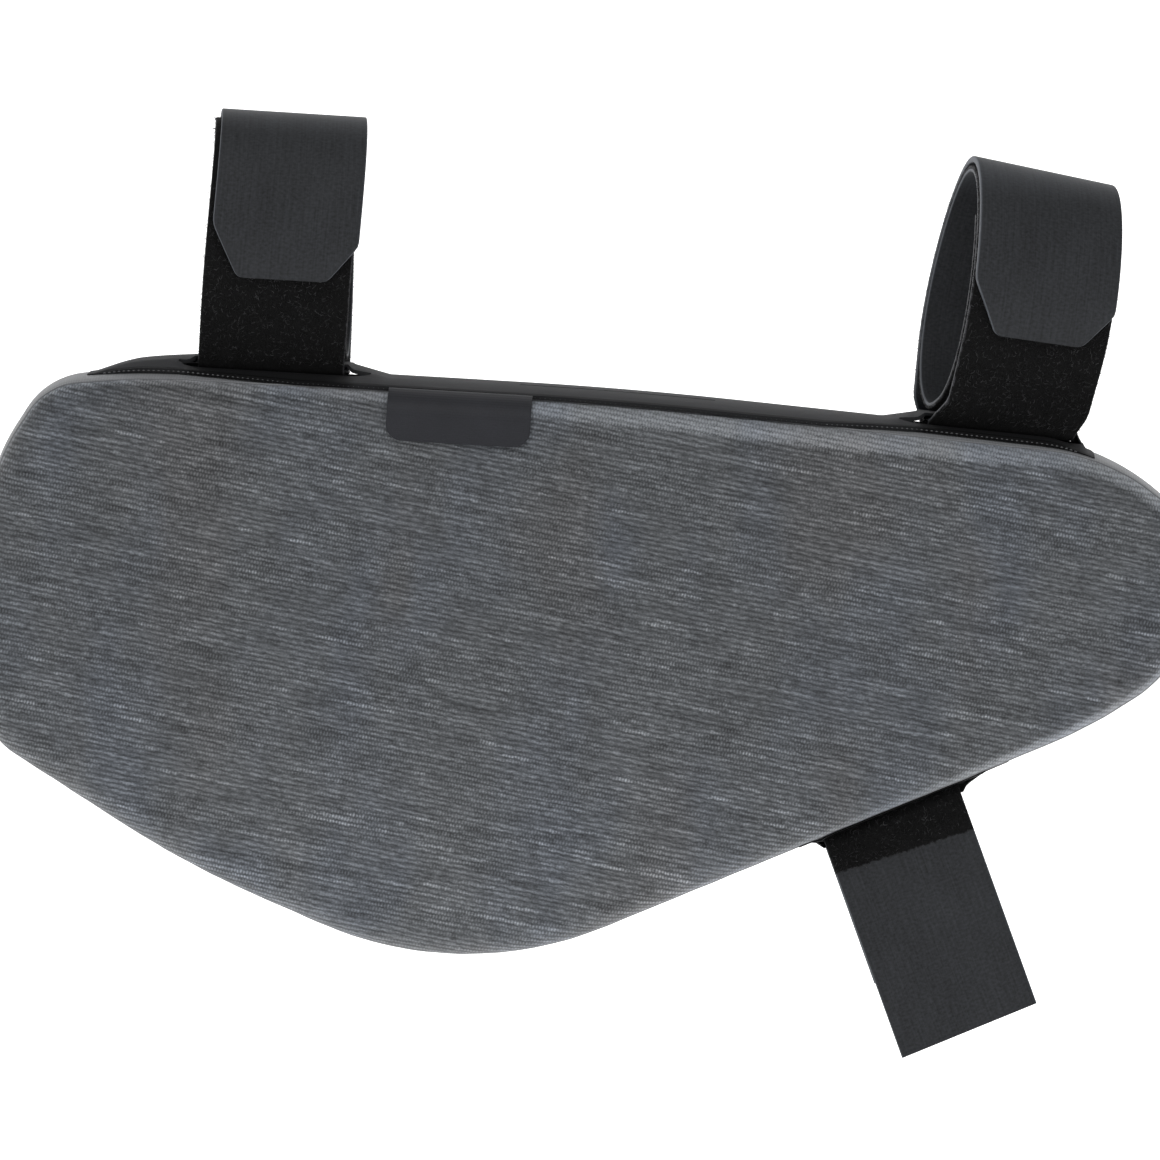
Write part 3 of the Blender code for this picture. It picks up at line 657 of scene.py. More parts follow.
points, faces, uv = gusset_band()
make_piece("bag_gusset", points, faces, gusset_cloth, ["bag_shell"], uv=uv)
for name, side in (("seam_front", -1), ("seam_far", 1)):
    points, faces, uv = seam_roll(side)
    make_piece(name, points, faces, gusset_cloth, ["bag_shell"], uv=uv)

# %% [markdown]
# ## The slit strips
#
# A smooth coated strip is sewn along the top edge, with pairs of slits for the straps, and a
# short one lies on the lower edge. Over a threaded strap, the bridge between two slits stands
# up, and under the strap's foot the cloth is painted darker: a painted shadow. The strip is a grid
# over the
# gusset whose slit cells are left out. A wall of cloth is then put on every open edge and a
# second skin above. Solidify does the same with one thickness, but these strips are skived
# thin towards their ends, so the thickness varies.

# %% Coated strip finish
def make_coated_strip():
    strip = Finish("coated_strip_finish", IOR=1.45, Specular_IOR_Level=0.08)
    along, across = strip.cloth()
    edge = strip.mark("edge")
    grain = strip.noise(strip.point(along * 2600, across * 2600), 1.0, 2.0)
    brush = strip.noise(strip.point(along * 90, across * 900), 1.0, 3.0, 0.6)
    scuff = strip.ramp(strip.noise(strip.point(along * 34, across * 160), 1.0, 4.0, 0.7), 0.5, 0.8)
    # Darker along the last 0.8 mm of the strip's edges, and darker by the painted shadow under the
    # straps' feet.
    edge_dark_and_foot_shadow = strip.ramp(edge, 0.0008, 0.0011, 0.45, 1.0) * strip.mark("strap_foot_shadow")
    light = (0.86 + grain * 0.16 + brush * 0.14 + scuff * 0.22) * edge_dark_and_foot_shadow
    colour = strip.shade((0.0330, 0.0335, 0.0356), light)
    return strip.finish(colour, 0.66 + grain * 0.1 - scuff * 0.06, grain * 0.7 + brush, 0.00004)


coated_strip = make_coated_strip()

# %% Shape of a slit strip
TOP_PANEL_WIDTH, LOWER_PANEL_WIDTH = 0.0400, 0.0300
PANEL_THICK, LOWER_THICK, PANEL_GAP, SNUG_GAP = 0.0010, 0.0003, 0.0003, 0.00005
SLIT_LENGTH, IDLE_SLIT_WIDTH, BRIDGE_WIDTH = 0.0430, 0.0009, 0.0218
STRAP_WIDTH, STRAP_THICK, STRAP_GAP, STRAP_BEND = 0.0320, 0.0015, 0.0005, 0.0012
BRIDGE_LIFT, LOWER_LIFT = STRAP_THICK + 2 * PANEL_GAP, STRAP_THICK + 0.0001
SLIT_LIP = BRIDGE_WIDTH / 2 + STRAP_BEND + STRAP_THICK / 2 + 0.0006
Slits = namedtuple("Slits", "along strapped shift")
TOP_SLITS = (Slits(0.2227, True, 0.06), Slits(0.5087, False, 0.0), Slits(0.8177, True, 0.32))
LOWER_SLITS = Slits(0.301, True, 0.43)
THIN_END, SKIVED_LENGTH, STRIP_SOFT = 0.00018, 0.0120, 0.00012
STEP_ALONG, STEP_ACROSS, EDGE_COLUMN = 0.0012, 0.0014, 0.0004
BRIDGE_SAG, SAG_REACH, OPEN_FALL, SHUT_REACH = 0.42, 0.0015, 0.0012, 0.0040
# Painted shadow under each strap's foot: how much darker, and how far past the strap it fades.
FOOT_SHADE, SHADE_REACH = 0.74, 0.0030

# The strip is narrower over the bag's corners: shares of what is outside the slits, along it.
TOP_MARGIN = ((0.074, 0.0), (0.112, 0.35), (0.152, 0.50), (0.190, 0.75), (0.246, 1.0),
              (0.600, 1.1), (0.680, 1.05), (0.720, 0.78), (0.755, 0.58), (0.864, 0.70), (0.903, 0.6))
LOWER_MARGIN = ((0.0, 1.0), (1.0, 1.0))

# How a threaded strap lifts its strip: how far the slit runs past the strap's left and right
# edges, how far from them the cloth comes down again, and whether the back of the strip
# stands up there too, which closes the view through the slit.
Tent = namedtuple("Tent", "slit_left slit_right down_left down_right shut_left shut_right")
TENTS = {
    TOP_SLITS[0]: Tent(0.0040, 0.0056, 0.0225, 0.0090, True, False),
    TOP_SLITS[2]: Tent(0.0058, 0.0018, 0.0085, 0.0030, False, True),
    LOWER_SLITS: Tent(0.0052, 0.0012, 0.0060, 0.0016, True, True),
}


def travel_on_top(along):
    top = int(RIM[:, 0].argmax())
    return float(np.interp(place(along, 0.0)[0], RIM[:top, 0], RIM_AT[:top]))


def travel_on_keel(share):
    chin, keel = (place(OUTLINE[k].along, OUTLINE[k].down) for k in (CHIN, KEEL))
    return float(RIM_AT[np.linalg.norm(RIM - (chin + (keel - chin) * share), axis=1).argmin()])


def edge_frame(travel):
    """Origin on the outline, direction along it and outward normal, in the bag's plane."""
    origin, normal = rim_point(travel)
    return origin, np.array([normal[1], -normal[0]]), normal


def strap_shift(slits):
    return slits.shift * (SLIT_LENGTH - STRAP_WIDTH) / 2


def smooth(share):
    share = np.clip(share, 0, 1)
    return share * share * (3 - 2 * share)


def stations(marks, step):
    """Sorted stations through the marks, with none further apart than a step."""
    marks = sorted(set(marks))
    pieces = [np.linspace(a, b, ceil((b - a) / step) + 1)[:-1] for a, b in zip(marks, marks[1:])]
    return np.concatenate([*pieces, marks[-1:]])


def thickened(points, quads, out, thick):
    """A sheet's faces on both skins, and a wall on each edge that only one face has. The upper
    skin is the lower one moved out by the thickness, which may vary."""
    count = len(points)
    edges = np.concatenate([quads[:, [k, (k + 1) % 4]] for k in range(4)])
    _, inverse, uses = np.unique(np.sort(edges, axis=1), axis=0, return_inverse=True,
                                 return_counts=True)
    rim = edges[uses[inverse.reshape(-1)] == 1]
    walls = np.stack([rim[:, 1], rim[:, 0], rim[:, 0], rim[:, 1]], axis=1) + (count, count, 0, 0)
    skins = np.concatenate([points, points + out * thick[:, None]])
    return skins, np.concatenate([quads[:, ::-1], quads + count, walls])


def tent_lift(travel, depth, left, right, tent):
    """Shares by which a strip follows the line over its strap. The bridge goes down from the
    strap's edges in straight lines, and its own edges sag there. Beside the slits the cloth
    only follows past their ends, less and less towards its edge, and comes down soon along
    the open slit."""
    down = np.interp(travel, [left - tent.down_left, left, right, right + tent.down_right],
                     [0, 1, 1, 0])
    off = np.maximum(left - travel, travel - right)
    bridge = np.abs(depth) <= BRIDGE_WIDTH / 2 + 1e-6
    sag = 1 - BRIDGE_SAG * smooth(off / SAG_REACH)[:, None] * np.square(depth / BRIDGE_WIDTH * 2)
    fall = smooth(1 - (np.abs(depth) - BRIDGE_WIDTH / 2) / (TOP_PANEL_WIDTH - BRIDGE_WIDTH) * 2)
    on_left = travel < (left + right) / 2
    open_length = np.where(on_left, tent.slit_left, tent.slit_right)
    soon = np.exp(-np.maximum(open_length - off, 0) / OPEN_FALL)
    shut = np.where(on_left, tent.shut_left, tent.shut_right) & (off > -SHUT_REACH)
    beside = np.where(shut[:, None] & (depth > 0)[None], 1.0, soon[:, None]) * fall[None]
    return down[:, None] * np.where(bridge[None], sag, beside)


def beyond_slits(travel, depth, margin):
    """Depths on the gusset, with the part outside the slits scaled by the share that the
    margin has there."""
    share = np.interp(travel, [travel_on_top(along) for along, _ in margin],
                      [share for _, share in margin])
    beyond = np.maximum(np.abs(depth) - SLIT_LIP, 0)
    return depth - np.sign(depth) * beyond * (1 - share[:, None])


# A strip: its ends along the outline, its width and thickness, its gap from the cloth, how
# high its bridges stand, its margins, its pairs of slits and the solid that it stands for.
Panel = namedtuple("Panel", "name start end width thick gap lift margin slits replaced")
keel = travel_on_keel(LOWER_SLITS.along)
TOP_STRIP = Panel("top_strip", travel_on_top(0.074), travel_on_top(0.903), TOP_PANEL_WIDTH,
                  PANEL_THICK, PANEL_GAP, BRIDGE_LIFT, TOP_MARGIN,
                  [(travel_on_top(slits.along), slits) for slits in TOP_SLITS], "top_panel")
LOWER_STRIP = Panel("lower_strip", keel - 0.0258, keel + 0.0240, LOWER_PANEL_WIDTH,
                    LOWER_THICK, SNUG_GAP, LOWER_LIFT, LOWER_MARGIN, [(keel, LOWER_SLITS)],
                    "lower_panel")


def skived(panel, travel):
    """Share of the full thickness along a strip: it eases to nothing at both ends."""
    return smooth(np.minimum(travel - panel.start, panel.end - travel) / SKIVED_LENGTH)


def slit_cuts(panel):
    """Where each pair of slits starts and ends along the strip, and how deep it reaches."""
    cuts = []
    for middle, slits in panel.slits:
        if slits.strapped:
            tent = TENTS[slits]
            strap, half_strap = middle + strap_shift(slits), STRAP_WIDTH / 2 + STRAP_GAP
            cuts.append((strap - half_strap - tent.slit_left, strap + half_strap + tent.slit_right,
                         SLIT_LIP))
        else:
            cuts.append((middle - SLIT_LENGTH / 2, middle + SLIT_LENGTH / 2,
                         BRIDGE_WIDTH / 2 + IDLE_SLIT_WIDTH))
    return cuts


def slit_strip(panel):
    """Rows go along the edge and columns across the gusset. Near a strap the height goes over
    to a straight line above it."""
    half_strap, half_bridge = STRAP_WIDTH / 2 + STRAP_GAP, BRIDGE_WIDTH / 2
    cuts = slit_cuts(panel)
    straps = [(middle + strap_shift(slits), slits) for middle, slits in panel.slits if slits.strapped]
    marks = [panel.start, panel.end, *(end for cut in cuts for end in cut[:2])]
    marks += [strap + side * half_strap for strap, _ in straps for side in (-1, 1)]
    travel = stations(marks, STEP_ALONG)
    sides = stations([0.0, half_bridge, half_bridge + IDLE_SLIT_WIDTH, SLIT_LIP,
                      panel.width / 2 - EDGE_COLUMN, panel.width / 2], STEP_ACROSS)
    depth = np.concatenate([-sides[:0:-1], sides])
    depths = beyond_slits(travel, depth, panel.margin)
    mid, mid_depth = (travel[1:] + travel[:-1]) / 2, np.abs(depth[1:] + depth[:-1]) / 2
    holes = np.zeros((len(mid), len(mid_depth)), bool)
    for first, last, wide in cuts:
        in_slit = (mid_depth > half_bridge) & (mid_depth < wide)
        holes |= ((mid > first) & (mid < last))[:, None] & in_slit[None]

    point, normal = rim_point(travel)
    gap = SNUG_GAP + (panel.gap - SNUG_GAP) * skived(panel, travel)
    flat = point[:, None] + normal[:, None] * (gap[:, None] - gusset_inset(depths))[..., None]
    bright = np.ones(len(travel))
    for strap, slits in straps:
        origin, along, out = edge_frame(strap)
        raised = origin + (travel - strap)[:, None] * along + out * (PANEL_GAP + panel.lift)
        raised = raised[:, None] - normal[:, None] * np.where(
            np.abs(depths) <= half_bridge + 1e-6, 0, gusset_inset(depths))[..., None]
        weight = tent_lift(travel, depth, strap - half_strap, strap + half_strap, TENTS[slits])
        flat = flat + (raised - flat) * weight[..., None]
        # Painted shadow: the strip is painted darker under each strap's foot, fading past its edges.
        past = np.abs(travel - strap) - half_strap
        bright = bright - FOOT_SHADE * (1 - smooth(past / SHADE_REACH))
    grid = with_depth(flat, depths)
    points = grid.reshape(-1, 3)
    out = np.cross(np.gradient(grid, axis=1), np.gradient(grid, axis=0)).reshape(-1, 3)
    out = unit(out * np.sign((out * (points - HEART)).sum(axis=1, keepdims=True)))
    thickness = THIN_END + (panel.thick - THIN_END) * skived(panel, travel)
    thickness = np.repeat(thickness, len(depth))
    quads = grid_quads(*grid.shape[:2])[~holes.reshape(-1)]
    points, faces = thickened(points, facing(points, quads, HEART), out, thickness)
    uv = np.stack(np.broadcast_arrays(travel[:, None], depths), axis=-1).reshape(-1, 2)
    edge = (np.abs(depths[:, -1:]) - np.abs(depths)).reshape(-1)
    # The painted shadow lies only outside the bridge.
    bright = np.where(np.abs(depths) > half_bridge, bright[:, None], 1.0).reshape(-1)
    strip = make_piece(panel.name, points, faces, coated_strip, [panel.replaced],
                       marks={"edge": np.tile(edge, 2), "strap_foot_shadow": np.tile(bright, 2)},
                       uv=np.tile(uv, (2, 1)))
    round_edge = strip.modifiers.new("soft_edges", "BEVEL")
    round_edge.width = STRIP_SOFT
    round_edge.segments = 2
    round_edge.limit_method = "ANGLE"
    round_edge.angle_limit = SHARP_ANGLE


slit_strip(TOP_STRIP)
slit_strip(LOWER_STRIP)

# %% [markdown]
# ## Stitches
#
# The top strip is held by a row of stitches in its cut side. A stitch is a short length of
# twisted thread that dives into the cloth at both ends, so one small spindle is repeated
# along the rows. Real thread would be thinner than a pixel, and the spindle's bulge is what
# catches the light.

# %% Thread finish
def make_thread():
    thread = Finish("thread_finish", IOR=1.45, Sheen_Weight=0.3)
    x, y, z = thread.place()
    fuzz = thread.noise(thread.point(x * 3000, y * 3000, z * 3000), 1.0, 2.0)
    twist = thread.math("PINGPONG", (x + y * 0.7 + z * 0.6) / 0.00035, 0.5) * 2
    colour = thread.shade((0.085, 0.086, 0.090), 0.5 + twist * 0.5 + fuzz * 0.5)
    return thread.finish(colour, 0.55 + fuzz * 0.2, twist + fuzz * 0.5, 0.00005)


thread_finish = make_thread()
STITCH_LENGTH, STITCH_PITCH, THREAD_WIDE = 0.00075, 0.0011, 0.00034
STITCH_START, STITCH_LEVEL = 0.0040, 0.55


def spindle():
    """A closed spindle of six rings of six points: the radius is the root of a sine."""
    share = np.linspace(0, 1, 6)
    radius = 0.5 * np.sqrt(np.sin(pi * np.clip(share, 0.03, 0.97)))
    angle = np.arange(6) * pi / 3
    across = radius[:, None] * np.cos(angle)
    up = radius[:, None] * np.sin(angle) + 0.25 * np.sin(pi * share)[:, None]
    along = np.broadcast_to((share - 0.5)[:, None], across.shape)
    return np.stack([along, across, up], axis=-1).reshape(-1, 3), grid_quads(6, 6, around=True)


def stitch_rows(panel):
    """A row of stitches along both cut sides of a strip, half way up."""
    origins, axes = [], []
    travel = np.arange(panel.start + STITCH_START, panel.end - STITCH_START, STITCH_PITCH)
    point, normal = rim_point(travel)
    along = np.stack([normal[:, 1], -normal[:, 0]], axis=1)
    on = with_depth(along, np.zeros(len(travel)))
    height = PANEL_GAP + panel.thick - THIN_END
    lift = (THIN_END + height * skived(panel, travel)) * STITCH_LEVEL
    for side in (-1, 1):
        depth = beyond_slits(travel, np.array([side * panel.width / 2]), panel.margin)[:, 0]
        slope = (gusset_inset(depth + 1e-5) - gusset_inset(depth - 1e-5)) / 2e-5
        out = unit(with_depth(normal, slope))
        across = np.cross(out, on)
        origins.append(with_depth(point + normal * (lift - gusset_inset(depth))[:, None], depth))
        axes.append(np.stack([on * STITCH_LENGTH, across * THREAD_WIDE, out * THREAD_WIDE], axis=1))
    shape, faces = spindle()
    points, quads = repeated(shape, faces, np.concatenate(origins), np.concatenate(axes))
    make_piece(panel.name + "_stitches", points, quads, thread_finish,
               [panel.replaced], sharp=False)


stitch_rows(TOP_STRIP)

# %% [markdown]
# ## The straps
#
# A hook-and-loop strap is one ribbon. Its back is a smooth woven face, its front is a pile of
# loops near black, and the pile stops where the hooks begin, so the flap looks smooth. A
# ribbon is a flat section with soft corners, carried along a route of depths and heights over
# the bag's edge. Each point knows how far along, how far across and on which side it is, and
# the finish uses that to lay pile, smooth face and the light line of the cut edge.

# %% Routes of the straps
LOOP_DEPTH, LOOP_HEIGHT = 0.0440, 0.0570
LOOP_START, LAYER_TURN = radians(50), radians(55)
FLAP_END_SHARE, TWIST_EASE_SHARE = 0.36, 0.12
HANG_FRONT, HANG_BACK, HANG_SPREAD, HANG_LEAN = 0.0510, 0.0380, 0.0030, radians(2.6)
UNDER_LEVEL = PANEL_GAP + STRAP_THICK / 2
OVER_LEVEL = BRIDGE_LIFT + PANEL_THICK + STRAP_GAP + STRAP_THICK / 2
LAYER_PITCH = STRAP_THICK + STRAP_GAP
STRAP_TURN = BRIDGE_WIDTH / 2 + STRAP_BEND
OVAL_STEP = radians(2)


def loop_route(height):
    """Depths and heights along a wound strap. It is an oval whose layer number rises by one,
    eased, each time it passes the top, and between the first and second pass it dips under
    the bridge by two small corners that the legs meet as tangents."""
    top = height - STRAP_THICK / 2 - 3 * LAYER_PITCH / 2
    middle, rise = (top + OVER_LEVEL) / 2, (top - OVER_LEVEL) / 2
    reach = (LOOP_DEPTH - STRAP_THICK + LAYER_PITCH) / 2 - 2 * LAYER_PITCH

    def oval(start, end):
        angle = np.linspace(start, end, ceil((end - start) / OVAL_STEP) + 1)
        turns = (angle[:, None] - 2 * pi * np.array([1, 2])) / (2 * LAYER_TURN) + 1 / 2
        layer = smooth(turns).sum(axis=1)
        depth = -(reach + layer * LAYER_PITCH) * np.sin(angle)
        return np.stack([depth, middle + (rise + layer * LAYER_PITCH) * np.cos(angle)], axis=1)

    outer_reach, outer_rise = reach + LAYER_PITCH, rise + LAYER_PITCH
    across, upright = STRAP_TURN * outer_rise, outer_reach * (UNDER_LEVEL - middle)
    touch = atan2(across, upright) - acos(outer_reach * outer_rise / hypot(across, upright))
    flap_angle = acos((FLAP_END_SHARE * height - middle) / (rise + 2 * LAYER_PITCH))
    inner, outer = oval(LOOP_START, 2 * pi + touch), oval(4 * pi - touch, 4 * pi + flap_angle)
    turns = np.array([[-STRAP_TURN, UNDER_LEVEL], [STRAP_TURN, UNDER_LEVEL]])
    corners = np.concatenate([inner, turns, outer])
    radii = [0] * len(inner) + [STRAP_BEND] * 2 + [0] * len(outer)
    return rounded(corners, radii)


def hanging_route():
    corners = [(STRAP_TURN + HANG_SPREAD, HANG_BACK), (STRAP_TURN, UNDER_LEVEL),
               (-STRAP_TURN, UNDER_LEVEL), (-STRAP_TURN - HANG_SPREAD, HANG_FRONT)]
    return rounded(corners, [0, STRAP_BEND, STRAP_BEND, 0])


def evened(route, step):
    """The route with stations no further apart than a step."""
    gone = travelled(route)
    return at_travel(stations(gone.tolist(), step), gone, route)


# %% A strap in space
Strap = namedtuple("Strap", "gone route out frame twists lean tilt height slide")


def make_strap(route, travel, twists, lean, tilt, height, slide_share=0.0):
    """A route with its outward directions. The flap slides sideways over its last stretch."""
    route = evened(route, 0.0015)
    run = unit(np.gradient(route, axis=0))
    out = np.stack([run[:, 1], -run[:, 0]], axis=1)
    gone = travelled(route)
    slide = slide_share * STRAP_WIDTH * smooth(1 - (gone[-1] - gone - LOOP_DEPTH) / LOOP_DEPTH)
    return Strap(gone, route, out, edge_frame(travel), twists, lean, tilt, height, slide)


def on_strap(strap, along, across, off):
    """Points of a strap: along its route, across it and off its middle surface outwards.
    Above the slits it turns about the upright, leans along the tube and tilts."""
    line = at_travel(along, strap.gone, strap.route)
    out = unit(at_travel(along, strap.gone, strap.out))
    depth, up = np.moveaxis(line + out * off[..., None], -1, 0)
    share = np.clip(line[..., 1] / strap.height, 0, 1)
    low, top = strap.twists
    turn = (low + (top - low) * share) * smooth(share / TWIST_EASE_SHARE)
    sideways = across + np.interp(along, strap.gone, strap.slide)
    travel = sideways * np.cos(turn) - depth * np.sin(turn) + np.tan(strap.lean) * up
    depth = sideways * np.sin(turn) + depth * np.cos(turn)
    up = up - np.tan(strap.tilt) * sideways * share
    origin, direction, normal = strap.frame
    return with_depth(origin + travel[..., None] * direction + up[..., None] * normal, depth)


EDGE_SOFT, PILE_EDGE = 0.00035, 0.0006


def strap_section(columns=15):
    """Shares across, trims at the edges and heights of a flat section with soft corners."""
    flat = np.linspace(-1, 1, columns)
    turn = np.linspace(0, pi / 2, 4)[1:]
    half = STRAP_THICK / 2 - EDGE_SOFT
    trim = EDGE_SOFT * (1 - np.sin(turn))
    rise = half + EDGE_SOFT * np.cos(turn)
    share = np.concatenate([flat, np.ones(3), np.ones(3), flat[::-1], -np.ones(3), -np.ones(3)])
    cut = np.concatenate([np.full(columns, EDGE_SOFT), trim, trim[::-1]])
    cut = np.concatenate([cut, cut])
    top = np.concatenate([np.full(columns, STRAP_THICK / 2), rise, -rise[::-1]])
    return share, cut, np.concatenate([top, -top])


def ribbon(name, strap, left_half, right_half, pile, finish, replaced):
    """The section carried along the strap. The two halves of its width may differ. The pile
    lies between two distances along it, and its start may slant across the strap."""
    share, cut, off = strap_section()
    half = np.where(share[None] < 0, left_half[:, None], right_half[:, None])
    across = share[None] * (half - cut[None])
    along = np.broadcast_to(strap.gone[:, None], across.shape)
    height = np.broadcast_to(off[None], across.shape)
    points = on_strap(strap, along, across, height)
    rows, columns = points.shape[:2]
    flat = points.reshape(-1, 3)
    quads = grid_quads(rows, columns, around=True)
    heart = np.repeat(points.mean(axis=1), columns, axis=0)[quads].mean(axis=1)
    quads = facing(flat, quads, heart)
    caps = []
    for ring, inner in ((0, 1), (rows - 1, rows - 2)):
        cap = ring * columns + np.arange(columns)[None]
        cap = facing(flat, cap, points[inner].mean(axis=0))
        caps.append(cap)
    uv = np.stack([along, across], axis=-1)
    inside_pile = np.minimum(along - pile[0] - pile[2] * across, pile[1] - along)
    marks = {"side": height / (STRAP_THICK / 2), "edge": half - np.abs(across),
             "pile": np.clip(inside_pile / PILE_EDGE, -4, 4)}
    return make_piece(name, flat, [quads, *caps], finish, [replaced],
                      marks=marks, uv=uv)


# %% Strap finish
def make_strap_finish():
    strap = Finish("strap_finish", IOR=1.45, Specular_IOR_Level=0.22, Sheen_Weight=0.03,
                   Sheen_Roughness=0.4)
    along, across = strap.cloth()
    side, edge, pile_mark = strap.mark("side"), strap.mark("edge"), strap.mark("pile")
    ragged = strap.noise(strap.point(along * 500, across * 900), 1.0, 3.0, 0.7)
    outer = strap.ramp(side, -0.35, 0.15)
    pile = outer * strap.ramp(pile_mark + (ragged - 0.5) * 3.0, -0.4, 0.4)

    streak = strap.noise(strap.point(along * 60, across * 2400), 1.0, 3.0, 0.6)
    twill = strap.noise(strap.point(along * 1800, across * 1100), 1.0, 2.0)
    cloud = strap.noise(strap.point(along * 55, across * 70), 1.0, 3.0, 0.6)
    x, y, z = strap.place()
    # Painted highlight: the strap is painted lighter near the top of its loop.
    wear_and_top_light = strap.ramp(z, 0.0215, 0.0300)
    smooth_light = streak * 1.2 + twill * 1.7 + cloud * 0.7 + wear_and_top_light * 1.1 - 0.80
    cut_line = strap.ramp(edge, 0.0, 0.00032, 1.0, 0.0)
    smooth_light = smooth_light + cut_line * 4.5
    smooth_colour = strap.shade((0.0150, 0.0162, 0.0184), smooth_light)

    curl = strap.noise(strap.point(along * 900, across * 900), 1.0, 4.0, 0.75)
    tuft = strap.noise(strap.point(along * 260, across * 260), 1.0, 3.0, 0.6)
    speckle = strap.ramp(curl, 0.42, 0.62)
    pile_light = strap.ramp(curl, 0.45, 0.85) * 1.8 + tuft * tuft * 1.6 + cut_line * speckle * 24
    pile_colour = strap.shade((0.0021, 0.0021, 0.0023), pile_light)
    colour = strap.mix(pile, smooth_colour, pile_colour)
    height = (1 - pile) * (streak * 0.12 + twill * 0.08) + pile * (curl * 1.0 + tuft * 1.6)
    roughness = 0.58 + twill * 0.1 + pile * 0.3
    return strap.finish(colour, roughness, height, 0.00035)


strap_finish = make_strap_finish()

# %% [markdown]
# ## The pile
#
# The loops of the pile show as curled fibres, most of all along the edges of the black faces.
# Bump alone would leave the strap's outline smooth, so thousands of small arcs stand on the
# pile. An arc is a thin tube of five rings, bent over to one side, and it is laid in the
# strap's own distances before they are turned into space.

# %% Fibres
FIBRE_RINGS, FIBRE_SIDES = 5, 3
FIBRE_LENGTHS, FIBRE_RADII, FIBRE_CURL = (0.0005, 0.0012), (0.00003, 0.00005), 1.6

# An area of pile: its range along and across the strap, its level off the strap's middle, how
# far its fibres stand up, and how many there are.
Pile = namedtuple("Pile", "along across level rise count")


def fibre_arcs(strap, area, draw):
    """Arcs laid at random over an area. Each one's heading turns evenly along it, so it is a
    circle's arc seen from above, and its height is most of a sine's hump."""
    first, side = draw.uniform(*area.along, area.count), draw.uniform(*area.across, area.count)
    bearing = draw.uniform(0, 2 * pi, area.count)
    length = draw.uniform(*FIBRE_LENGTHS, area.count)
    tall = draw.uniform(0.25, 1.0, area.count) * area.rise
    curl = draw.uniform(-FIBRE_CURL, FIBRE_CURL, area.count)
    radius = draw.uniform(*FIBRE_RADII, area.count)[:, None, None]
    share = np.linspace(0, 1, FIBRE_RINGS)[None]
    heading = bearing[:, None] + curl[:, None] * share
    step = length[:, None] / FIBRE_RINGS
    along = first[:, None] + np.cumsum(np.cos(heading) * step, axis=1)
    across = side[:, None] + np.cumsum(np.sin(heading) * step, axis=1)
    lift = tall[:, None] * np.sin(pi * (0.08 + 0.84 * share))
    spin = np.arange(FIBRE_SIDES) * 2 * pi / FIBRE_SIDES
    along = along[..., None] - radius * np.sin(heading)[..., None] * np.cos(spin)
    across = across[..., None] + radius * np.cos(heading)[..., None] * np.cos(spin)
    off = (area.level + np.sign(area.level) * lift)[..., None] + radius * np.sin(spin)
    return on_strap(strap, along, across, off).reshape(area.count, -1, 3)


def make_pile(name, strap, areas, seed, replaced):
    """All the fibres of a strap as one piece. Each has its own shade, from dark to bright."""
    draw = np.random.default_rng(seed)
    points = np.concatenate([fibre_arcs(strap, area, draw) for area in areas])
    quads = grid_quads(FIBRE_RINGS, FIBRE_SIDES, around=True)
    step = np.arange(len(points))[:, None, None] * FIBRE_RINGS * FIBRE_SIDES
    shade = np.repeat(draw.uniform(0, 1, len(points)), FIBRE_RINGS * FIBRE_SIDES)
    make_piece(name, points.reshape(-1, 3), (quads[None] + step).reshape(-1, 4), fibre_finish,
               [replaced], marks={"shade": shade}, sharp=False)


def make_fibre_finish():
    fibre = Finish("pile_fibre_finish", IOR=1.5, Specular_IOR_Level=0.25)
    x, y, z = fibre.place()
    shade = fibre.mark("shade")
    bright = fibre.ramp(shade, 0.66, 1.0)
    dust = fibre.noise(fibre.point(x * 800, y * 800, z * 800), 1.0, 2.0)
    colour = fibre.mix(bright, (0.0035, 0.0035, 0.0038), (0.062, 0.062, 0.065))
    return fibre.finish(fibre.shade(colour, 0.6 + dust * 0.8), 0.6 + dust * 0.2, dust, 0.00002)


fibre_finish = make_fibre_finish()

# %% The two wound straps
Loop = namedtuple("Loop", "name slits height low_twist top_twist lean tilt slide")
LOOPS = (
    Loop("left", TOP_SLITS[0], 1.012, 0.0, radians(5.8), 0.0, 0.0, 0.037),
    Loop("right", TOP_SLITS[2], 1.032, radians(12.5), radians(7.0), radians(3.7), radians(5.5), 0.0),
)
CUT_WIDE, CUT_LONG_LEFT, CUT_LONG_RIGHT, CUT_SOFT = 0.0062, 0.0112, 0.0080, 0.0011
LAST_PASS, PILE_BEFORE_TOP, PILE_BEFORE_START, PILE_UP_FRONT = 0.120, 0.018, 0.010, 0.040
PILE_CLEAR, PILE_MARGIN, RIM_WIDE, RIM_START = 0.0010, 0.0004, 0.0009, 0.0040


def flap_half(left, cut_long):
    """Half width by the distance left to the tip: the whole width and the slanted cut,
    joined by a soft minimum, and rounded off at the tip by a quarter circle."""
    slant = STRAP_WIDTH / 2 - CUT_WIDE + CUT_WIDE * left / cut_long
    whole = np.full_like(left, STRAP_WIDTH / 2)
    blend = np.exp(-slant / CUT_SOFT * 4) + np.exp(-whole / CUT_SOFT * 4)
    half = -np.log(blend) * CUT_SOFT / 4
    round_off = np.clip(1 - left / CUT_SOFT, 0, 1)
    return half - CUT_SOFT * (1 - np.sqrt(1 - round_off**2))


def round_tip(strap):
    """The strap with close stations at its tip, which follow the tip's quarter circle."""
    near_tip = strap.gone[-1] - CUT_SOFT * (1 - np.cos(np.linspace(0, pi / 2, 6)[:-1]))
    gone = np.union1d(strap.gone, near_tip)
    gone = gone[np.concatenate([[True], np.diff(gone) > 1e-6])]
    return strap._replace(
        gone=gone, route=at_travel(gone, strap.gone, strap.route),
        out=unit(at_travel(gone, strap.gone, strap.out)),
        slide=np.interp(gone, strap.gone, strap.slide))


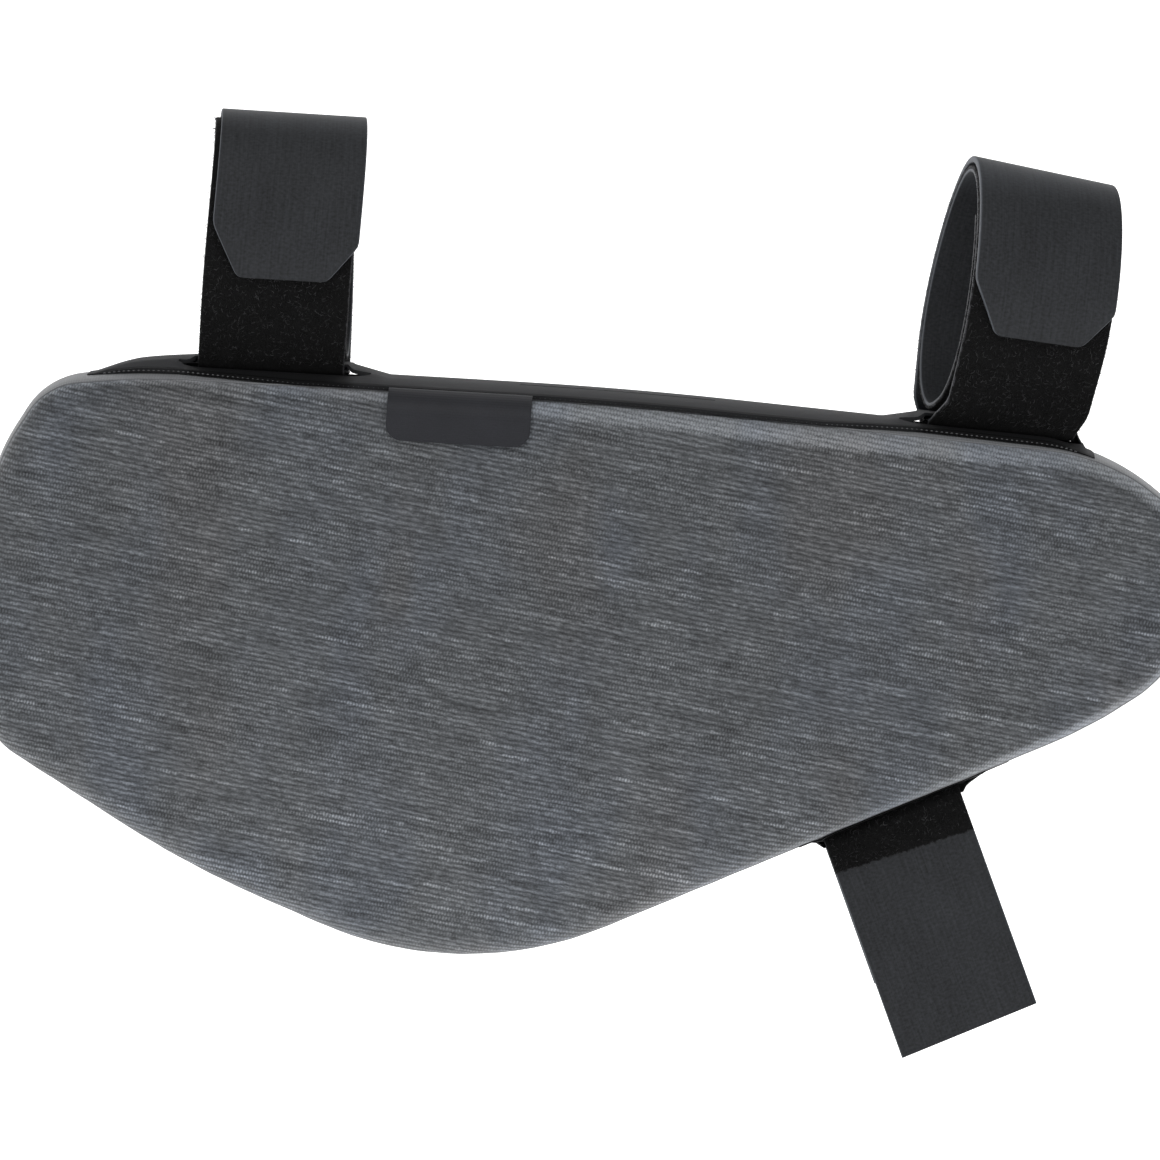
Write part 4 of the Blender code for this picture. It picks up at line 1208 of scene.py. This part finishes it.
def wound_strap(loop, seed):
    """A strap in its loop: pile up to a little before the last pass over the top, and the
    smooth flap from there to the tip."""
    height = loop.height * LOOP_HEIGHT
    travel = travel_on_top(loop.slits.along) + strap_shift(loop.slits)
    replaced = "top_strap_" + loop.name
    strap = round_tip(make_strap(loop_route(height), travel, (loop.low_twist, loop.top_twist),
                                 loop.lean, loop.tilt, height, loop.slide))
    left = strap.gone[-1] - strap.gone
    at_top = int(np.argmax(strap.route[:, 1] * (left < LAST_PASS)))
    pile_end = strap.gone[at_top] - PILE_BEFORE_TOP
    ribbon(loop.name + "_loop_strap", strap, flap_half(left, CUT_LONG_LEFT),
           flap_half(left, CUT_LONG_RIGHT), (-PILE_BEFORE_START, pile_end, 0.0), strap_finish,
           replaced)
    under = (strap.route[:, 1] < UNDER_LEVEL * 1.5)
    front_foot = strap.gone[under & (strap.route[:, 0] < 0)][0]
    back_foot = strap.gone[under & (strap.route[:, 0] > 0)][-1]
    half, skin = STRAP_WIDTH / 2, STRAP_THICK / 2
    inner = (-half + PILE_MARGIN, half - PILE_MARGIN)
    areas = [
        Pile((front_foot - PILE_UP_FRONT, front_foot - PILE_CLEAR), inner, skin, 0.00045, 4400),
        Pile((back_foot + PILE_CLEAR, pile_end), inner, skin, 0.00045, 900),
    ]
    for rim in ((-half, -half + RIM_WIDE), (half - RIM_WIDE, half)):
        areas.append(Pile((RIM_START, pile_end), rim, skin * 0.6, 0.00025, 1200))
    make_pile(loop.name + "_loop_pile", strap, areas, seed, replaced)


for seed, loop in enumerate(LOOPS, start=11):
    wound_strap(loop, seed)

# %% The open strap below
PILE_DOWN, PILE_SLANT, OPEN_MARGIN = 0.0092, 0.078, 0.0005
OPEN_PILE_FRONT, OPEN_PILE_BACK = (0.0006, 0.0095), (0.0340, 0.0010)


def open_strap(seed):
    """The hanging strap: pile under the bag down to a slanted line and smooth below it. The
    other end, behind, is pile all the way."""
    travel = travel_on_keel(LOWER_SLITS.along) + strap_shift(LOWER_SLITS)
    strap = make_strap(hanging_route()[::-1], travel, (0.0, 0.0), HANG_LEAN, 0.0, HANG_FRONT)
    straight = np.full(len(strap.gone), STRAP_WIDTH / 2)
    front = strap.route[:, 0] < -STRAP_TURN
    pile_start = float(np.interp(-PILE_DOWN, -strap.route[front, 1], strap.gone[front]))
    ribbon("lower_strap", strap, straight, straight, (pile_start, 1.0, PILE_SLANT), strap_finish,
           "down_tube_strap")
    half, skin, last = STRAP_WIDTH / 2, STRAP_THICK / 2, float(strap.gone[-1])
    inner = (-half + OPEN_MARGIN, half - OPEN_MARGIN)
    make_pile("lower_strap_pile", strap, [
        Pile([pile_start + past for past in OPEN_PILE_FRONT], inner, skin, 0.00035, 900),
        Pile([last - left for left in OPEN_PILE_BACK], inner, skin, 0.00030, 1000),
    ], seed, "down_tube_strap")


open_strap(31)

# %% [markdown]
# ## The label tab
#
# A soft rubbery tab is caught under the strip and bends over the shoulder. Its face is bare.
# It is a grid of rows down the shoulder: each row's half width shrinks at the bottom by a
# quarter circle, which rounds the two lower corners.

# %% Label finish and shape
LABEL_WIDTH, LABEL_DROP, LABEL_THICK, LABEL_ROUND = 0.0313, 0.0122, 0.0009, 0.0035
LABEL_SHARE, LABEL_GAP, LABEL_BEND_SHARE = 0.3815, 0.0004, 0.25


def make_label_finish():
    face = Finish("label_finish", IOR=1.45, Specular_IOR_Level=0.25)
    along, across = face.cloth()
    grain = face.noise(face.point(along * 3000, across * 3000), 1.0, 2.0)
    weave = face.math("PINGPONG", across / 0.00042, 0.5) * 2
    cloud = face.noise(face.point(along * 120, across * 160), 1.0, 3.0)
    colour = face.shade((0.0128, 0.0134, 0.0168), 0.30 + grain * 0.80 + weave * 0.10 + cloud * 0.50)
    return face.finish(colour, 0.50 + grain * 0.12, grain * 0.5 + weave * 0.5, 0.00003)


def label_tab():
    top = gusset_inset(TOP_PANEL_WIDTH / 2 + LABEL_GAP)
    bottom = top + LABEL_DROP - LABEL_BEND_SHARE * SHOULDER
    angle = np.linspace(0, pi / 2, 12)
    down = np.concatenate([np.linspace(top, bottom - LABEL_ROUND, 26)[:-1],
                           bottom - LABEL_ROUND * (1 - np.sin(angle))])
    into = np.clip(1 - (bottom - down) / LABEL_ROUND, 0, 1)
    half = LABEL_WIDTH / 2 - LABEL_ROUND * (1 - np.sqrt(1 - into**2))
    travel = travel_on_top(LABEL_SHARE) + half[:, None] * np.linspace(-1, 1, 41)
    point, normal = rim_point(travel)
    flat = point - normal * down[:, None, None]
    share = np.clip(down / SHOULDER, 0, 1)
    bend = HALF_DEPTH * (1 - (1 - share) ** SHOULDER_POWER) ** (1 / SHOULDER_POWER)
    depth = np.where(down[:, None] < SHOULDER, bend[:, None], far_face_depth(flat))
    grid = with_depth(flat, -depth)
    out = unit(np.cross(np.gradient(grid, axis=0), np.gradient(grid, axis=1)))
    out = out * -np.sign(out[..., 1:2])
    grid = grid + out * LABEL_GAP
    uv = np.stack(np.broadcast_arrays(travel, down[:, None]), axis=-1)
    points = grid.reshape(-1, 3)
    tab = make_piece("blank_label", points, facing(points, grid_quads(*grid.shape[:2]), HEART),
                     make_label_finish(), ["label_tab"], uv=uv)
    wall = tab.modifiers.new("thickness", "SOLIDIFY")
    wall.thickness = LABEL_THICK
    wall.offset = 1.0
    soft = tab.modifiers.new("soft_edges", "BEVEL")
    soft.width = 0.00028
    soft.segments = 3
    soft.limit_method = "ANGLE"
    soft.angle_limit = SHARP_ANGLE
    return tab


label_tab()

# %% [markdown]
# ## The zip
#
# A coil zip is two woven tapes with a nylon coil along the edge of each, and the turns of one
# coil fill the gaps of the other. The tape is a grid set back in the slot. Each turn of a coil
# is one small bent tube, repeated along both edges half a pitch apart. The slider and its pull
# are lofts: flat sections with round corners that change their size step by step.

# %% Zip finishes
def make_zip_cloth():
    tape = Finish("zip_tape_finish", IOR=1.4, Sheen_Weight=0.2)
    x, y, z = tape.place()
    rib = tape.math("PINGPONG", (x + z * 0.5) / 0.0007, 0.5) * 2
    fuzz = tape.noise(tape.point(x * 1500, 0.0, z * 1500), 1.0, 2.0)
    colour = tape.shade((0.020, 0.020, 0.022), 0.7 + rib * 0.3 + fuzz * 0.4)
    return tape.finish(colour, 0.65 + fuzz * 0.15, rib + fuzz * 0.4, 0.00010)


def make_coil_finish():
    coil = Finish("zip_coil_finish", IOR=1.5)
    x, y, z = coil.place()
    # Here only wear: random lighter, rougher patches on the coil.
    wear_and_top_light = coil.noise(coil.point(x * 900, y * 900, z * 900), 1.0, 3.0)
    colour = coil.shade((0.024, 0.024, 0.026), 0.7 + wear_and_top_light * 0.6)
    return coil.finish(colour, 0.32 + wear_and_top_light * 0.2, wear_and_top_light, 0.00002)


def make_slider_finish():
    metal = Finish("slider_metal_finish", Metallic=0.9)
    x, y, z = metal.place()
    brushed = metal.noise(metal.point(x * 500, y * 3000, z * 3000), 1.0, 3.0, 0.6)
    rubbed = metal.ramp(metal.noise(metal.point(x * 260, y * 260, z * 260), 1.0, 3.0), 0.45, 0.8)
    colour = metal.shade((0.080, 0.080, 0.086), 0.8 + brushed * 0.3 + rubbed * 0.9)
    return metal.finish(colour, 0.42 - rubbed * 0.1 + brushed * 0.08, brushed, 0.00002)


# %% Zip tape and coil
TAPE_SINK, COIL_PITCH, COIL_REACH, COIL_RADIUS = 0.0014, 0.0015, 0.0026, 0.00045
zip_start = ZIP_MIDDLE[0] - ZIP_LENGTH / 2 + 0.0008
zip_end = ZIP_MIDDLE[0] + ZIP_LENGTH / 2 - 0.0008


def zip_tape_cloth():
    x = np.linspace(ZIP_MIDDLE[0] - ZIP_LENGTH / 2, ZIP_MIDDLE[0] + ZIP_LENGTH / 2, 120)[:, None]
    z = np.linspace(-1, 1, 13)[None] * ZIP_HEIGHT / 2 + ZIP_MIDDLE[1]
    flat = np.stack(np.broadcast_arrays(x, z), axis=-1)
    grid = with_depth(flat, far_face_depth(flat) - TAPE_SINK)
    points = grid.reshape(-1, 3)
    make_piece("zip_tape_cloth", points, facing(points, grid_quads(*grid.shape[:2]), HEART),
               make_zip_cloth(), ["zip_tape"])


def zip_coil():
    """Each turn of the coil is a tube whose middle line is a half circle seen along the zip."""
    t = np.linspace(0, pi, 7)[:, None]
    spin = np.arange(6)[None] * pi / 3
    swell = COIL_RADIUS * (1 + 0.25 * np.sin(t))
    reach = COIL_REACH / 2
    across = reach * np.cos(t) + swell * np.cos(spin) * np.cos(t)
    out = 0.0010 * np.sin(t) + swell * np.cos(spin) * np.sin(t)
    along = swell * np.sin(spin) + 0.0 * t
    shape = np.stack([along, across, out], axis=-1).reshape(-1, 3)
    faces = grid_quads(7, 6, around=True)
    origins = []
    for side in (-1, 1):
        x = np.arange(zip_start, zip_end, COIL_PITCH) + (side + 1) * COIL_PITCH / 4
        flat = np.stack([x, np.full(len(x), ZIP_MIDDLE[1] + side * COIL_REACH * 0.30)], axis=1)
        origins.append(with_depth(flat, far_face_depth(flat) - TAPE_SINK))
    origins = np.concatenate(origins)
    axes = np.broadcast_to(np.array([(1, 0, 0), (0, 0, 1), (0, 1, 0)], float), (len(origins), 3, 3))
    points, quads = repeated(shape, faces, origins, axes)
    make_piece("zip_coil", points, quads, make_coil_finish(), ["zip_tape"], sharp=False)


zip_tape_cloth()
zip_coil()

# %% Slider and pull
SLIDER_LENGTH, SLIDER_WIDTH, SLIDER_THICK, SLIDER_INSET = 0.0110, 0.0070, 0.0028, 0.0220
PULL_LENGTH, PULL_WIDTH, PULL_THICK = 0.0220, 0.0050, 0.0012


def loft(rows, around=40, power=4.0):
    """Stacked flat sections along Y. A row gives the height, the middle along X and the half
    sizes in X and Z; each section is a superellipse of the given power."""
    rows = np.asarray(rows, float)
    angle = np.arange(around) * 2 * pi / around
    c, s = np.cos(angle), np.sin(angle)
    x = rows[:, 1:2] + rows[:, 2:3] * np.sign(c) * np.abs(c) ** (2 / power)
    z = rows[:, 3:4] * np.sign(s) * np.abs(s) ** (2 / power)
    y = np.broadcast_to(rows[:, 0:1], x.shape)
    points = np.stack([x, y, z], axis=-1)
    quads = grid_quads(len(rows), around, around=True)
    heart = np.repeat(points.mean(axis=1), around, axis=0)[quads].mean(axis=1)
    flat = points.reshape(-1, 3)
    quads = facing(flat, quads, heart)
    caps = [np.arange(around)[None], (len(rows) - 1) * around + np.arange(around)[None]]
    middle = flat.mean(axis=0)
    return flat, quads, [facing(flat, cap, middle) for cap in caps]


def zip_slider():
    """The slider's body, the bow that holds the pull, and the pull itself, one above another."""
    at = ZIP_MIDDLE - (ZIP_LENGTH / 2 - SLIDER_INSET, 0)
    ground = float(far_face_depth(at + (PULL_LENGTH, 0))) + 0.0001
    half_x, half_z, soft = SLIDER_LENGTH / 2, SLIDER_WIDTH / 2, 0.0004
    parts = [
        loft([(0, 0, half_x - soft, half_z - soft), (soft / 2, 0, half_x, half_z),
              (0.0010, 0, half_x, half_z), (0.0013, 0, half_x - soft / 2, half_z - soft / 2),
              (0.0014, 0, half_x - soft, half_z - soft)]),
        loft([(0.0013, 0, 0.0040, 0.0010), (0.0019, 0, 0.0038, 0.0010), (0.0024, 0, 0.0030, 0.0009),
              (SLIDER_THICK, 0, 0.0016, 0.0006)], power=3.0),
    ]
    low = SLIDER_THICK - PULL_THICK
    middle, half = PULL_LENGTH / 2, PULL_LENGTH / 2
    parts.append(loft([(low, middle, half - soft, PULL_WIDTH / 2 - soft),
                       (low + soft / 2, middle, half, PULL_WIDTH / 2),
                       (SLIDER_THICK - soft / 2, middle, half, PULL_WIDTH / 2),
                       (SLIDER_THICK, middle, half - soft, PULL_WIDTH / 2 - soft)], power=5.0))
    points, faces, caps, count = [], [], [], 0
    for flat, quads, ends in parts:
        points.append(flat)
        faces.append(quads + count)
        caps += [end + count for end in ends]
        count += len(flat)
    points = np.concatenate(points) + (at[0], ground, at[1])
    make_piece("zip_pull_slider", points, [*faces, *caps], make_slider_finish(),
               ["zip_slider"])


zip_slider()

# %% [markdown]
# ## Floor, backdrop and light
#
# The photograph is a studio picture on white: no floor line shows, and the light comes from
# all round with one large soft source above the camera. A floor that curves up into the
# backdrop has no line. Its paper glows a little, as an overlit studio sweep does, so that the
# picture's ground is white.

# %% Studio
FLOOR_LEVEL = -0.34


def make_paper():
    paper = Finish("backdrop_paper_finish", Emission_Strength=0.75, Emission_Color=(1.0, 1.0, 1.0))
    x, y, z = paper.place()
    tooth = paper.noise(paper.point(x * 40, y * 40, z * 40), 1.0, 2.0)
    return paper.finish(paper.shade((0.93, 0.93, 0.93), 0.99 + tooth * 0.02), 0.9, tooth, 0.0001)


def studio_sweep():
    """A floor that turns up into a wall by a quarter circle, carried sideways."""
    turn = np.linspace(0, pi / 2, 24)
    floor = np.array([[-4.0, FLOOR_LEVEL]])
    bend = np.stack([1.6 + 1.2 * np.sin(turn), FLOOR_LEVEL + 1.2 * (1 - np.cos(turn))], axis=1)
    wall = np.array([[2.8, 4.0]])
    profile = np.concatenate([floor, bend, wall])
    x = np.array([-5.0, 5.0])
    grid = np.stack(np.broadcast_arrays(x[None], profile[:, :1], profile[:, 1:]), axis=-1)
    mesh = bpy.data.meshes.new("studio_sweep")
    mesh.from_pydata(grid.reshape(-1, 3).tolist(), [], grid_quads(*grid.shape[:2]).tolist())
    mesh.shade_smooth()
    mesh.materials.append(make_paper())
    sweep = bpy.data.objects.new("studio_sweep", mesh)
    bpy.context.collection.objects.link(sweep)


def soft_light(name, where, size, power):
    """A large square lamp that looks at the bag."""
    data = bpy.data.lights.new(name, "AREA")
    data.size = size
    data.energy = power
    lamp = bpy.data.objects.new(name, data)
    aim = (TARGET - Vector(where)).to_track_quat("-Z", "Y")
    lamp.matrix_world = Matrix.Translation(where) @ aim.to_matrix().to_4x4()
    bpy.context.collection.objects.link(lamp)


studio_sweep()
soft_light("key_light", (-0.5, -1.5, 1.7), 1.4, 20)
soft_light("fill_light", (1.4, -1.6, 0.2), 1.4, 4)
world = bpy.data.worlds.new("studio_air")
world.use_nodes = True
world.node_tree.nodes["Background"].inputs["Color"].default_value = (1, 1, 1, 1)
world.node_tree.nodes["Background"].inputs["Strength"].default_value = 0.55
bpy.context.scene.world = world
bpy.context.scene.view_settings.view_transform = "Standard"
